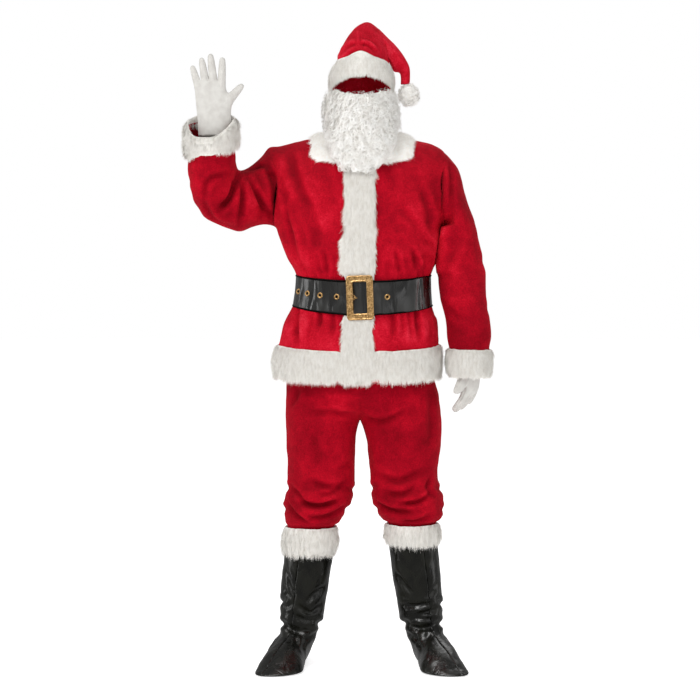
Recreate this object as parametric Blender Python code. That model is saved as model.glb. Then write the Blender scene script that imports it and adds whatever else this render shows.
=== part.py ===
"""A worn santa suit: hat, beard, jacket, belt, trousers, boot covers and gloves.

Lengths are metres and +Z is up. X runs to the wearer's left, the front of the suit faces -Y.
Heights in the tables are above the floor that the boot covers reach; the whole suit hangs from one
empty, which puts the origin at the neck opening, where the wearer's shoulders hold the jacket.
"""
import math

import bmesh
import bpy
import numpy as np

# ---------------------------------------------------------------- driving dimensions
NECK_HEIGHT = 1.500            # origin above the floor
PLUSH = 0.003                  # red plush cloth with its short pile
VINYL = 0.0016                 # boot cover vinyl
STRAP = 0.003                  # belt: vinyl turned over a stiffener
COTTON = 0.0012                # glove cloth
WAIST_ELASTIC = 0.005          # gathered casing at the trouser waist
FUR = 0.015                    # pile height of the fur trims
FUR_UNDER_BELT = 0.005         # placket pile flattened by the belt
SEAM_PULL = 0.00017            # each panel's edge stands this far back from the seam line
HAT_SEAM_PULL = 0.0007         # the same where the hat's tail turns its seam sharply
ARMHOLE_GAP = 0.0008           # the sleeve's ring stands this far out from the armhole
LAID_GAP = 0.0004              # what lies on a panel stands this far off it
COLLAR_GAPS = (0.0006, 0.003, 0.0035, 0.002)   # collar over the shoulders, neck to outer edge
BODY_POWER = 2.4               # fullness of the jacket's sections (2 is an ellipse)
PLACKET_LEFT = 0.048           # placket edges at the centre front
PLACKET_RIGHT = -0.050
FRONT_COLUMNS = 6              # cloth columns from the placket to the side seam
BACK_COLUMNS = 14
LEG_COLUMNS = 14
HAT_COLUMNS = 16
BOOT_COLUMNS = 7               # in each half of a boot cover
EASE_RINGS = 3                 # sleeve rings over which the armhole's columns even out

# ---------------------------------------------------------------- tables
# Jacket sections: height, centre x, half width, front y, back y, armhole angle, front drop
JACKET_SECTIONS = (
    (0.822, -0.0078, 0.230, -0.140, 0.128, 0, 0.010),
    (0.874, -0.0078, 0.230, -0.141, 0.128, 0, 0.011),
    (0.914, -0.0020, 0.225, -0.140, 0.127, 0, 0.013),
    (0.952, 0.000, 0.221, -0.137, 0.124, 0, 0.015),
    (0.994, 0.003, 0.212, -0.128, 0.118, 0, 0.018),
    (1.021, 0.007, 0.197, -0.124, 0.111, 0, 0.019),
    (1.066, 0.009, 0.191, -0.121, 0.107, 0, 0.016),
    (1.109, 0.010, 0.190, -0.121, 0.106, 0, 0.013),
    (1.128, 0.010, 0.201, -0.126, 0.113, 0, 0.012),
    (1.157, 0.004, 0.209, -0.135, 0.118, 0, 0.009),
    (1.198, 0.000, 0.219, -0.139, 0.122, 0, 0.004),
    (1.240, -0.005, 0.234, -0.142, 0.126, 0, 0.000),
    (1.268, -0.005, 0.242, -0.143, 0.128, 13, 0.000),
    (1.305, -0.004, 0.251, -0.142, 0.129, 24, 0.000),
    (1.345, -0.003, 0.257, -0.140, 0.129, 31, 0.000),
    (1.378, -0.003, 0.260, -0.135, 0.127, 32, 0.002),
    (1.408, -0.003, 0.261, -0.127, 0.121, 30, 0.006),
    (1.432, -0.004, 0.259, -0.118, 0.112, 24, 0.012),
    (1.450, -0.005, 0.254, -0.108, 0.102, 15, 0.018),
    (1.464, -0.006, 0.243, -0.100, 0.093, 0, 0.024),
    (1.480, -0.006, 0.206, -0.094, 0.086, 0, 0.030),
    (1.491, -0.003, 0.148, -0.090, 0.081, 0, 0.037),
    (1.500, 0.000, 0.084, -0.086, 0.074, 0, 0.044),
)
HEM_FUR_ROWS = (0, 3)          # section rows, first and past the last
BELT_ROWS = (5, 8)
BELT_LOW = JACKET_SECTIONS[BELT_ROWS[0]][0]
BELT_HIGH = JACKET_SECTIONS[BELT_ROWS[1] - 1][0]
GATHER_FADE = 0.05             # gathers die away this close to the belt
UNDERARM_ROW = 11
SHOULDER_ROW = 19

# Jacket gathers: angle, lowest height, highest height, half width in degrees, depth
JACKET_GATHERS = (
    (-62, 0.80, 0.99, 9, 0.010), (-38, 0.80, 1.00, 8, 0.012), (-16, 0.925, 0.995, 9, 0.006),
    (-118, 0.80, 0.99, 9, 0.011), (-141, 0.80, 1.00, 8, 0.012), (-165, 0.80, 0.99, 9, 0.009),
    (20, 0.925, 0.995, 9, 0.006), (52, 0.80, 1.00, 9, 0.012), (86, 0.80, 1.00, 10, 0.010),
    (118, 0.80, 0.99, 9, 0.012), (150, 0.80, 1.00, 9, 0.010),
    (-60, 1.11, 1.22, 8, 0.008), (-40, 1.11, 1.26, 8, 0.010), (-16, 1.11, 1.24, 9, 0.007),
    (-120, 1.11, 1.24, 8, 0.009), (-140, 1.11, 1.20, 8, 0.008), (-163, 1.11, 1.26, 9, 0.008),
    (30, 1.11, 1.24, 9, 0.008), (64, 1.11, 1.22, 9, 0.009), (100, 1.11, 1.26, 9, 0.010),
    (138, 1.11, 1.23, 9, 0.008),
)

# Tube sections: x and z of the outer edge, x and z of the inner edge, y, half depth, front rise
RIGHT_SLEEVE = (
    (-0.276, 1.449, -0.275, 1.244, -0.010, 0.086, 0.00),
    (-0.300, 1.428, -0.306, 1.238, -0.030, 0.084, 0.00),
    (-0.319, 1.411, -0.342, 1.234, -0.052, 0.081, 0.00),
    (-0.333, 1.405, -0.385, 1.243, -0.074, 0.078, -0.05),
    (-0.340, 1.406, -0.429, 1.264, -0.093, 0.074, -0.12),
    (-0.343, 1.414, -0.455, 1.298, -0.109, 0.070, -0.20),
    (-0.344, 1.426, -0.470, 1.337, -0.123, 0.068, -0.30),
    (-0.344, 1.444, -0.475, 1.384, -0.139, 0.066, -0.36),
    (-0.345, 1.472, -0.4765, 1.436, -0.158, 0.064, -0.42),
    (-0.348, 1.495, -0.476, 1.468, -0.171, 0.062, -0.41),
    (-0.349, 1.521, -0.474, 1.503, -0.184, 0.061, -0.39),
    (-0.350, 1.550, -0.474, 1.541, -0.197, 0.060, -0.38),
)
LEFT_SLEEVE = (
    (0.279, 1.420, 0.256, 1.238, 0.000, 0.086, 0.00),
    (0.291, 1.372, 0.250, 1.218, 0.000, 0.084, 0.00),
    (0.303, 1.318, 0.239, 1.192, 0.000, 0.081, 0.00),
    (0.315, 1.262, 0.227, 1.164, 0.000, 0.078, 0.00),
    (0.326, 1.208, 0.223, 1.135, -0.003, 0.075, 0.00),
    (0.338, 1.155, 0.221, 1.104, -0.006, 0.072, 0.00),
    (0.349, 1.105, 0.222, 1.070, -0.010, 0.070, 0.00),
    (0.358, 1.052, 0.229, 1.036, -0.015, 0.067, 0.00),
    (0.365, 1.000, 0.240, 1.001, -0.020, 0.065, 0.00),
    (0.370, 0.955, 0.2445, 0.966, -0.025, 0.064, 0.00),
    (0.370, 0.924, 0.245, 0.932, -0.030, 0.063, 0.00),
    (0.366, 0.902, 0.252, 0.905, -0.032, 0.061, 0.00),
    (0.364, 0.866, 0.254, 0.868, -0.034, 0.060, 0.00),
    (0.363, 0.829, 0.255, 0.831, -0.035, 0.060, 0.00),
)
RIGHT_CUFF_ROWS = (9, 13)      # rows counted with the armhole ring as row 0
LEFT_CUFF_ROWS = (12, 15)
# Sleeve folds: row, angle, half length in rows, half width in degrees, depth
RIGHT_SLEEVE_FOLDS = (
    (3.0, 95, 1.0, 40, 0.010), (5.0, 80, 0.9, 45, -0.008), (6.4, 70, 0.9, 45, 0.010),
    (3.4, 265, 1.0, 40, 0.009), (5.6, 280, 1.0, 45, 0.008), (8.0, 60, 0.8, 60, 0.006),
)
LEFT_SLEEVE_FOLDS = (
    (3.0, 80, 0.9, 50, 0.008), (5.2, 110, 0.9, 50, 0.007), (7.4, 70, 0.9, 50, 0.009),
    (9.2, 95, 0.8, 60, 0.008), (4.0, 265, 0.9, 50, 0.008), (7.0, 280, 0.9, 50, 0.008),
    (10.4, 180, 0.8, 80, 0.004),
)
HAT_SECTIONS = (
    (-0.0810, 1.6200, 0.0895, 1.6200, 0.010, 0.098, 0.53),
    (-0.0810, 1.6430, 0.0890, 1.6420, 0.010, 0.098, 0.52),
    (-0.0795, 1.6660, 0.0880, 1.6640, 0.011, 0.097, 0.50),
    (-0.0765, 1.6900, 0.0865, 1.6850, 0.012, 0.094, 0.47),
    (-0.0680, 1.7230, 0.0840, 1.7080, 0.015, 0.088, 0.40),
    (-0.0530, 1.7560, 0.0800, 1.7270, 0.019, 0.078, 0.30),
    (-0.0320, 1.7890, 0.0755, 1.7450, 0.024, 0.067, 0.20),
    (-0.0090, 1.8140, 0.0775, 1.7500, 0.030, 0.058, 0.10),
    (0.0140, 1.8290, 0.0810, 1.7490, 0.036, 0.050, 0.00),
    (0.0430, 1.8190, 0.0845, 1.7420, 0.040, 0.044, 0.00),
    (0.0690, 1.7910, 0.0880, 1.7320, 0.043, 0.038, 0.00),
    (0.0950, 1.7630, 0.0930, 1.7190, 0.044, 0.032, 0.00),
    (0.1200, 1.7320, 0.1020, 1.7070, 0.041, 0.026, 0.00),
    (0.1380, 1.7050, 0.1160, 1.6920, 0.036, 0.020, 0.00),
    (0.1410, 1.6760, 0.1180, 1.6730, 0.031, 0.016, 0.00),
    (0.1390, 1.6480, 0.1180, 1.6480, 0.028, 0.0125, 0.00),
)
HAT_BAND_ROWS = (0, 4)
HAT_FOLDS = (
    (4.3, 60, 0.5, 45, -0.007), (4.4, 122, 0.5, 40, -0.007), (5.2, 92, 0.6, 60, 0.006),
    (4.6, 250, 0.6, 50, -0.006), (6.5, 305, 0.8, 40, 0.006),
)
POMPOM_CENTRE = (0.1385, 1.6180, 0.028)
POMPOM_RADIUS = 0.0305

# Beard sections: height, centre x, half width, side y, front y
BEARD_SECTIONS = (
    (1.618, 0.003, 0.099, 0.000, -0.124),
    (1.600, 0.003, 0.105, -0.002, -0.136),
    (1.578, 0.003, 0.110, -0.010, -0.146),
    (1.555, 0.003, 0.108, -0.028, -0.153),
    (1.530, 0.003, 0.104, -0.060, -0.158),
    (1.505, 0.002, 0.098, -0.098, -0.163),
    (1.480, 0.002, 0.088, -0.120, -0.165),
    (1.455, 0.001, 0.074, -0.134, -0.166),
    (1.430, 0.000, 0.055, -0.141, -0.164),
    (1.405, -0.001, 0.032, -0.1426, -0.159),
)
BEARD_DEPTH = 0.018
BEARD_CORE = 0.040             # sections smaller than this thin out towards the tip
BEARD_WAVES = 9.6              # curls round half a turn, in radians per radian
BEARD_STAGGER = 1.9            # how far each row of curls is shifted, in radians
BEARD_COLUMNS = 20
BEARD_RISE = ((0, 0.007), (18, 0.013), (40, 0.016), (62, 0.006), (90, 0.000))
BEARD_CURL = 0.004             # height of the curls on the beard's outer face

# Placket pile: height, pile height
PLACKET_PILE = (
    (0.80, FUR), (0.952, 0.013), (0.994, FUR_UNDER_BELT), (1.109, FUR_UNDER_BELT), (1.128, 0.006),
    (1.157, 0.013), (1.198, FUR),
)

# Collar leaf: angle from the side, height of the section row that its outer edge reaches
COLLAR_EDGE = (
    (-90, 1.441), (-76, 1.441), (-64, 1.446), (-54, 1.470), (-45, 1.4855), (-30, 1.4895),
    (0, 1.4920), (30, 1.4890), (55, 1.4750), (75, 1.4560), (90, 1.4500),
)

COLLAR_FRONT, COLLAR_BACK = -84, 90
COLLAR_SHARES = (0.0, 0.28, 0.62, 1.0)   # rows from the neck to the outer edge

# Trouser leg rows: height, outer x, inner x, centre y, half depth (mirrored for the left leg)
RIGHT_LEG = (
    (0.334, -0.2090, -0.0810, 0.000, 0.0640),
    (0.366, -0.2094, -0.0746, 0.000, 0.0664),
    (0.3965, -0.2080, -0.0745, 0.000, 0.0660),
    (0.3990, -0.2150, -0.0580, 0.000, 0.0800),
    (0.4130, -0.2165, -0.0490, 0.000, 0.0860),
    (0.4350, -0.2190, -0.0340, 0.000, 0.0930),
    (0.4600, -0.2200, -0.0200, 0.000, 0.0970),
    (0.4850, -0.2120, -0.0150, 0.000, 0.0960),
    (0.5150, -0.2060, -0.0130, 0.000, 0.0950),
    (0.6150, -0.2130, -0.0090, 0.000, 0.1000),
    (0.6550, -0.2150, -0.0060, 0.000, 0.1050),
    (0.6850, -0.2165, -0.0025, 0.002, 0.1100),
)
LEFT_LEG = (
    (0.334, 0.2170, 0.0890, 0.000, 0.0640),
    (0.3660, 0.2184, 0.0836, 0.000, 0.0664),
    (0.4045, 0.2145, 0.0830, 0.000, 0.0660),
    (0.4070, 0.2290, 0.0650, 0.000, 0.0800),
    (0.4180, 0.2380, 0.0560, 0.000, 0.0880),
    (0.4400, 0.2430, 0.0430, 0.000, 0.0950),
    (0.4620, 0.2400, 0.0330, 0.000, 0.0970),
    (0.4850, 0.2390, 0.0300, 0.000, 0.0960),
    (0.5250, 0.2240, 0.0290, 0.000, 0.0950),
    (0.6150, 0.2320, 0.0190, 0.000, 0.1000),
    (0.6550, 0.2360, 0.0110, 0.000, 0.1050),
    (0.6850, 0.2360, 0.0040, 0.002, 0.1100),
)
# Seat rows above the crotch: height, right x, left x, front seam y, back seam y, front y, back y,
# share of the legs' own roundness that is left, front drop
SEAT_SECTIONS = (
    (0.7000, -0.2165, 0.2350, -0.0300, 0.0400, -0.1160, 0.1160, 0.60, 0.000),
    (0.7160, -0.2160, 0.2340, -0.0660, 0.0800, -0.1180, 0.1180, 0.35, 0.000),
    (0.7400, -0.2155, 0.2330, -0.0980, 0.1100, -0.1200, 0.1200, 0.15, 0.000),
    (0.7720, -0.2150, 0.2290, -0.1190, 0.1190, -0.1200, 0.1200, 0.05, 0.000),
    (0.8020, -0.2140, 0.2160, -0.1180, 0.1170, -0.1180, 0.1180, 0.00, 0.000),
    (0.8600, -0.2060, 0.2090, -0.1140, 0.1140, -0.1140, 0.1140, 0.00, 0.000),
    (0.9300, -0.1930, 0.1980, -0.1070, 0.1070, -0.1070, 0.1070, 0.00, 0.000),
    (0.9750, -0.1870, 0.1990, -0.1120, 0.1040, -0.1120, 0.1040, 0.00, 0.008),
    (1.0200, -0.1841, 0.1981, -0.1181, 0.1051, -0.1181, 0.1051, 0.00, 0.019),
)
SEAT_POWER = 2.2
SEAT_EASE = 0.45               # share of the hip's width over which the seat reaches its depth
# Leg folds: height, angle, half height, half width in degrees, depth
RIGHT_LEG_FOLDS = (
    (0.425, 100, 0.012, 70, 0.007), (0.452, 60, 0.010, 60, -0.006), (0.478, 120, 0.012, 70, 0.007),
    (0.520, 60, 0.015, 60, -0.006), (0.560, 110, 0.020, 60, 0.005), (0.450, 270, 0.014, 80, 0.007),
    (0.500, 255, 0.016, 70, 0.006),
)
LEFT_LEG_FOLDS = (
    (0.430, 80, 0.012, 70, 0.008), (0.458, 120, 0.010, 60, -0.006), (0.484, 70, 0.012, 70, 0.007),
    (0.524, 110, 0.015, 60, -0.007), (0.556, 70, 0.020, 60, 0.006), (0.452, 270, 0.014, 80, 0.007),
    (0.505, 285, 0.016, 70, 0.006),
)

# Boot cover sections: height, lean to the inside, back, front, half width, ball width
BOOT_SECTIONS = (
    (0.395, 0.030, -0.0715, 0.0715, 0.0715, 0.00),
    (0.316, 0.024, -0.0712, 0.0712, 0.0712, 0.00),
    (0.256, 0.017, -0.0730, 0.0730, 0.0725, 0.00),
    (0.193, 0.009, -0.0700, 0.0700, 0.0675, 0.00),
    (0.146, 0.006, -0.0680, 0.0690, 0.0655, 0.00),
    (0.116, 0.003, -0.0630, 0.0650, 0.0590, 0.00),
    (0.098, 0.000, -0.0580, 0.0720, 0.0530, 0.00),
    (0.084, 0.000, -0.0590, 0.0920, 0.0520, 0.03),
    (0.072, 0.000, -0.0600, 0.1230, 0.0520, 0.06),
    (0.060, 0.000, -0.0610, 0.1560, 0.0525, 0.09),
    (0.047, 0.000, -0.0625, 0.1900, 0.0530, 0.11),
    (0.032, 0.000, -0.0635, 0.2200, 0.0535, 0.12),
    (0.004, 0.000, -0.0620, 0.2350, 0.0520, 0.12),
    (0.0005, 0.000, -0.0500, 0.2200, 0.0400, 0.12),
)
RIGHT_BOOT_ANKLE = (-0.170, 0.000)
LEFT_BOOT_ANKLE = (0.1790, 0.000)
BOOT_TURN = 24                 # degrees that the feet are turned out
BOOT_CREASES = (               # height, angle from the toe, half height, half width, depth
    (0.128, 0, 0.008, 75, 0.004), (0.106, 150, 0.007, 60, 0.004), (0.175, 40, 0.010, 40, -0.003),
    (0.215, -50, 0.012, 40, 0.003), (0.152, -150, 0.010, 50, 0.003),
)
RIGHT_BOOT_FUR = (0.318, 0.3915)
LEFT_BOOT_FUR = (0.348, 0.3995)

# Belt
BELT_LAP_START = 1             # front column where the strap starts, under the tail
BELT_TAIL_COLUMN = 6           # front column where the tail ends
BUCKLE_CENTRE = (-0.001, 1.050)
BUCKLE_SIZE = (0.078, 0.125)
BUCKLE_BARS = (0.017, 0.013)   # side bars, top and bottom bars
BUCKLE_THICK = 0.005
BUCKLE_LEAN = -2.0             # degrees
PRONG_SPAN = (-0.0226, -0.0080)
PRONG_SIZE = 0.0042
EYELET_X = (-0.173, -0.148, -0.112, -0.0655, -0.0205, 0.0275, 0.0755)
EYELET_RADII = (0.0042, 0.0080)
EYELET_THICK = 0.0016
EYELET_BOW = 0.0007            # clears the strap's curve under the ring

# Glove palm: distance from the wrist, little finger side, thumb side, half thickness
PALM_SECTIONS = (
    (-0.046, -0.046, 0.043, 0.0270),
    (0.016, -0.049, 0.046, 0.0240),
    (0.042, -0.052, 0.045, 0.0220),
    (0.068, -0.054, 0.038, 0.0200),
    (0.090, -0.054, 0.031, 0.0175),
    (0.106, -0.046, 0.021, 0.0110),
)
# Fingers: base x, base y, tip x, tip y, base radius, tip radius
RAISED_FINGERS = (
    (-0.0415, 0.080, -0.0605, 0.1480, 0.0110, 0.0085),
    (-0.0205, 0.082, -0.0352, 0.1690, 0.0115, 0.0090),
    (-0.0005, 0.082, -0.0105, 0.1800, 0.0120, 0.0092),
    (0.0190, 0.080, 0.0225, 0.1700, 0.0115, 0.0092),
    (0.0220, 0.038, 0.0775, 0.0980, 0.0170, 0.0100),
)
HANGING_FINGERS = (
    (-0.0415, 0.080, -0.0470, 0.1440, 0.0110, 0.0085),
    (-0.0205, 0.082, -0.0240, 0.1640, 0.0115, 0.0090),
    (-0.0005, 0.082, 0.0000, 0.1740, 0.0120, 0.0092),
    (0.0190, 0.080, 0.0240, 0.1650, 0.0115, 0.0092),
    (0.0220, 0.036, 0.0600, 0.1020, 0.0160, 0.0100),
)
RAISED_WRIST = (-0.4000, -0.1985, 1.540)
HANGING_WRIST = (0.3122, -0.0344, 0.880)
HAND_TURN = 25                 # degrees that the hanging hand turns its back to the front
FINGER_CURL = 62               # degrees over the hanging hand's fingers
CURL_SPAN = (0.070, 0.180)     # where the curl starts and ends along the hand
THUMB_TUCK = 0.75              # how steeply the hanging thumb leans to the palm
HALF_REACH = 0.040             # further than any finger's half thickness
THUMB_ROOT = 0.034             # the thumb lies past this distance from the hand's middle
THUMB_EASE = 0.008             # width over which the palm's bend passes into the thumb's lean
HALF_ACROSS = (-0.09, 0.0, 0.034, 0.038, 0.042, 0.10)   # bends of the seam's surface, across
HALF_ALONG = (-0.07, 0.0, 0.05, 0.07, 0.084, 0.10, 0.12, 0.14, 0.16, 0.18, 0.22)   # and along
GLOVE_MOUTH = 0.006            # the hollow runs on this far past the glove's edge
RAISED_LEAN = 0.10             # the raised hand's lean to the front along its length

COLOURS = {
    "plush": ((0.55, 0.01, 0.02), 0.85, 0.0),
    "fur": ((0.85, 0.84, 0.82), 0.95, 0.0),
    "hair": ((0.90, 0.89, 0.87), 0.90, 0.0),
    "vinyl": ((0.02, 0.02, 0.02), 0.30, 0.0),
    "brass": ((0.45, 0.29, 0.08), 0.40, 1.0),
    "cotton": ((0.86, 0.86, 0.88), 0.90, 0.0),
}


# ---------------------------------------------------------------- helpers
def clear_scene():
    for obj in list(bpy.data.objects):
        bpy.data.objects.remove(obj, do_unlink=True)


def material(kind):
    """The Principled material of one kind of cloth or metal, made once."""
    found = bpy.data.materials.get(kind)
    if found:
        return found
    colour, roughness, metallic = COLOURS[kind]
    made = bpy.data.materials.new(kind)
    made.use_nodes = True
    shader = made.node_tree.nodes["Principled BSDF"]
    shader.inputs["Base Color"].default_value = (*colour, 1.0)
    shader.inputs["Roughness"].default_value = roughness
    shader.inputs["Metallic"].default_value = metallic
    return made


def add_object(name, vertices, faces, kind):
    """One mesh object with its material, hung on the suit's empty."""
    mesh = bpy.data.meshes.new(name)
    mesh.from_pydata([tuple(v) for v in vertices], [], faces)
    if signed_volume(mesh) < 0:
        mesh.flip_normals()
    mesh.materials.append(material(kind))
    mesh.shade_smooth()
    obj = bpy.data.objects.new(name, mesh)
    bpy.context.scene.collection.objects.link(obj)
    obj.parent = bpy.data.objects["suit"]
    return obj


def signed_volume(mesh):
    """Volume inside the faces; it is negative where they point inwards."""
    mesh.calc_loop_triangles()
    points = np.array([tuple(vertex.co) for vertex in mesh.vertices])
    corners = points[np.array([triangle.vertices[:] for triangle in mesh.loop_triangles])]
    return float(np.sum(np.cross(corners[:, 0], corners[:, 1]) * corners[:, 2])) / 6


def bell(value, middle, width):
    """A soft hump of height 1 at the middle."""
    return math.exp(-((value - middle) / width) ** 2)


def turn_between(angle, other):
    """Smallest difference of two angles in degrees."""
    return (angle - other + 180) % 360 - 180


def power_curve(value, power):
    """cos or sin pulled out towards a fuller section."""
    return math.copysign(abs(value) ** (2 / power), value)


def read_table(rows, key):
    """Second column of a two-column table at a key, between its rows."""
    return float(np.interp(key, [row[0] for row in rows], [row[1] for row in rows]))


def corner_faces(i, j, after, columns):
    """Corners of one cell of a grid, always split along the same diagonal."""
    return (i * columns + j, i * columns + after, (i + 1) * columns + after, (i + 1) * columns + j)


def face_normals(grid, closed):
    """Outward area normal of each cell; outward is away from the section's middle."""
    ahead = np.roll(grid, -1, axis=1) if closed else grid[:, 1:]
    here = grid if closed else grid[:, :-1]
    across = ahead[1:] - here[:-1]
    other = here[1:] - ahead[:-1]
    normals = np.cross(across, other)
    middles = (here[1:] + here[:-1] + ahead[1:] + ahead[:-1]) / 4
    sections = grid.mean(axis=1)
    centres = ((sections[1:] + sections[:-1]) / 2)[:, None, :]
    facing = np.sum(normals * (middles - centres))
    return normals * (1 if facing > 0 else -1), facing > 0


def shared_normals(panels):
    """Vertex normals of several grids; points that lie on a common seam share theirs."""
    totals = {}
    for grid, closed in panels:
        normals, _ = face_normals(grid, closed)
        rows, columns = normals.shape[:2]
        for i in range(rows):
            for j in range(columns):
                after = (j + 1) % grid.shape[1]
                for corner in ((i, j), (i, after), (i + 1, j), (i + 1, after)):
                    key = tuple(np.round(grid[corner], 6) + 0.0)
                    totals[key] = totals.get(key, 0) + normals[i, j]
    found = []
    for grid, _ in panels:
        out = np.zeros_like(grid)
        for index in np.ndindex(grid.shape[:2]):
            total = totals[tuple(np.round(grid[index], 6) + 0.0)]
            out[index] = total / np.linalg.norm(total)
        found.append(out)
    return found


def pull_edges(grid, closed, first=True, pull=SEAM_PULL):
    """Draws a grid's border rows and columns back from the seams, square to each seam."""
    pulled = grid.copy()

    def draw(edge, inner, ring):
        if ring:
            along = np.roll(edge, -1, axis=0) - np.roll(edge, 1, axis=0)
        else:
            along = np.gradient(edge, axis=0)
        along = along / np.linalg.norm(along, axis=-1, keepdims=True)
        step = inner - edge
        step = step - along * np.sum(step * along, axis=-1, keepdims=True)
        return pull * step / np.linalg.norm(step, axis=-1, keepdims=True)

    if first:
        pulled[0] += draw(grid[0], grid[1], closed)
    pulled[-1] += draw(grid[-1], grid[-2], closed)
    if not closed:
        pulled[:, 0] += draw(grid[:, 0], grid[:, 1], False)
        pulled[:, -1] += draw(grid[:, -1], grid[:, -2], False)
    return pulled


def wall(name, outer, inner, closed, kind):
    """A closed solid between two grids of points, rimmed at every border."""
    rows, columns = outer.shape[:2]
    _, outward = face_normals(outer, closed)
    count = rows * columns
    faces = []

    def add(corners, flip):
        a, b, c, d = corners
        faces.append((a, d, c, b) if flip else (a, b, c, d))

    for i in range(rows - 1):
        for j in range(columns if closed else columns - 1):
            corners = corner_faces(i, j, (j + 1) % columns, columns)
            add(corners, not outward)
            add(tuple(count + c for c in corners), outward)
    points = outer.reshape(-1, 3)

    def rim(here, there, flip):
        """One cell of the rim, split from its lower outer corner, as its neighbour's rim is."""
        step = points[there] - points[here]
        axis = next((k for k in (2, 1, 0) if abs(step[k]) > 0.0006), 0)
        corners = (here, there, count + there, count + here)
        add(corners if step[axis] > 0 else corners[1:] + corners[:1], flip)

    top = (rows - 1) * columns
    for j in range(columns if closed else columns - 1):
        after = (j + 1) % columns
        rim(j, after, outward)
        rim(top + j, top + after, not outward)
    if not closed:
        for i in range(rows - 1):
            here, there = i * columns, (i + 1) * columns
            rim(here, there, not outward)
            rim(here + columns - 1, there + columns - 1, outward)
    vertices = np.concatenate([points, inner.reshape(-1, 3)])
    return add_object(name, vertices, faces, kind)


def cloth(name, grid, normals, thickness, closed, kind, first=True, pull=SEAM_PULL):
    """A cloth panel: the grid is its outer face, the thickness goes inwards."""
    outer = pull_edges(grid, closed, first, pull)
    return wall(name, outer, outer - normals * thickness, closed, kind)


def laid_on(name, grid, normals, height, closed, kind, gap=LAID_GAP, edge=0.45):
    """A trim that lies on a panel's points, moved out; its pile rounds off at the edges."""
    rows, columns = grid.shape[:2]
    heights = np.broadcast_to(np.asarray(height, dtype=float), (rows, columns)).copy()
    heights[0] *= edge
    heights[-1] *= edge
    if not closed:
        heights[:, 0] *= edge
        heights[:, -1] *= edge
    base = pull_edges(grid, closed) + normals * np.reshape(gap, (-1, 1, 1))
    return wall(name, base + normals * heights[..., None], base, closed, kind)


def tube_ring(section, angles, swell=None):
    """One section: 0 degrees at the inner edge, 90 at the front, 180 at the outer edge."""
    outer_x, outer_z, inner_x, inner_z, y, depth, rise = section
    centre = np.array([(outer_x + inner_x) / 2, y, (outer_z + inner_z) / 2])
    across = np.array([(inner_x - outer_x) / 2, 0.0, (inner_z - outer_z) / 2])
    forward = np.array([0.0, -depth, depth * rise])
    ring = []
    for angle in angles:
        turn = math.radians(angle)
        arm = across * math.cos(turn) + forward * math.sin(turn)
        extra = swell(angle) if swell else 0.0
        ring.append(centre + arm * (1 + extra / np.linalg.norm(arm)))
    return ring


def table_folds(folds, row, angle):
    """Height of the folds of a table at a row and an angle."""
    total = 0.0
    for middle, turn, half_rows, half_turn, depth in folds:
        total += depth * bell(row, middle, half_rows) * bell(turn_between(angle, turn), 0, half_turn)
    return total


# ---------------------------------------------------------------- jacket
def gather_depth(angle, height):
    total = 0.0
    for turn, low, high, half_turn, depth in JACKET_GATHERS:
        near_belt = min(abs(height - BELT_LOW), abs(height - BELT_HIGH))
        reach = math.sin(math.pi * min(max((height - low) / (high - low), 0), 1)) ** 0.5
        away = min(near_belt / GATHER_FADE, 1.0)
        total += depth * reach * away * bell(turn_between(angle, turn), 0, half_turn)
    return total


def body_point(section, angle):
    """A point of the jacket's body: 0 degrees at the left side, -90 at the front."""
    height, centre, half, front, back, _, drop = section
    turn = math.radians(angle)
    along, outward = math.cos(turn), math.sin(turn)
    x = half * power_curve(along, BODY_POWER)
    y = (back if outward > 0 else -front) * power_curve(outward, BODY_POWER)
    folds = 0.0 if BELT_LOW <= height <= BELT_HIGH else gather_depth(angle, height)
    grow = 1 + folds / math.hypot(x, y)
    return np.array([centre + x * grow, y * grow, height - drop * max(0.0, -outward) ** 2])


def angle_at(section, x):
    """Angle at which the front of a section passes a given x."""
    _, centre, half = section[:3]
    share = (x - centre) / half
    return -math.degrees(math.acos(power_curve(share, 4 / BODY_POWER)))


def jacket_angles(section):
    """Column angles of the left front, the back and the right front of one section."""
    armhole = section[5]
    left_edge = angle_at(section, PLACKET_LEFT)
    right_edge = angle_at(section, PLACKET_RIGHT)
    left = [angle_at(section, 0.0), angle_at(section, PLACKET_LEFT / 2)]
    left += list(np.linspace(left_edge, -armhole, FRONT_COLUMNS + 1))
    back = list(np.linspace(armhole, 180 - armhole, BACK_COLUMNS + 1))
    right = list(np.linspace(-180 + armhole, right_edge, FRONT_COLUMNS + 1))
    right += [angle_at(section, PLACKET_RIGHT / 2), angle_at(section, 0.0)]
    return left, back, right


def jacket_grids():
    """Point grids of the left front, the back and the right front, hem to neck."""
    grids = ([], [], [])
    for section in JACKET_SECTIONS:
        for grid, angles in zip(grids, jacket_angles(section)):
            grid.append([body_point(section, angle) for angle in angles])
    return [np.array(grid) for grid in grids]


def armhole_loop(front_edge, back_edge):
    """The armhole's points from the underarm up the front and down the back."""
    front = list(front_edge[UNDERARM_ROW:SHOULDER_ROW + 1])
    back = list(back_edge[UNDERARM_ROW + 1:SHOULDER_ROW])[::-1]
    return front + back


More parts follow.
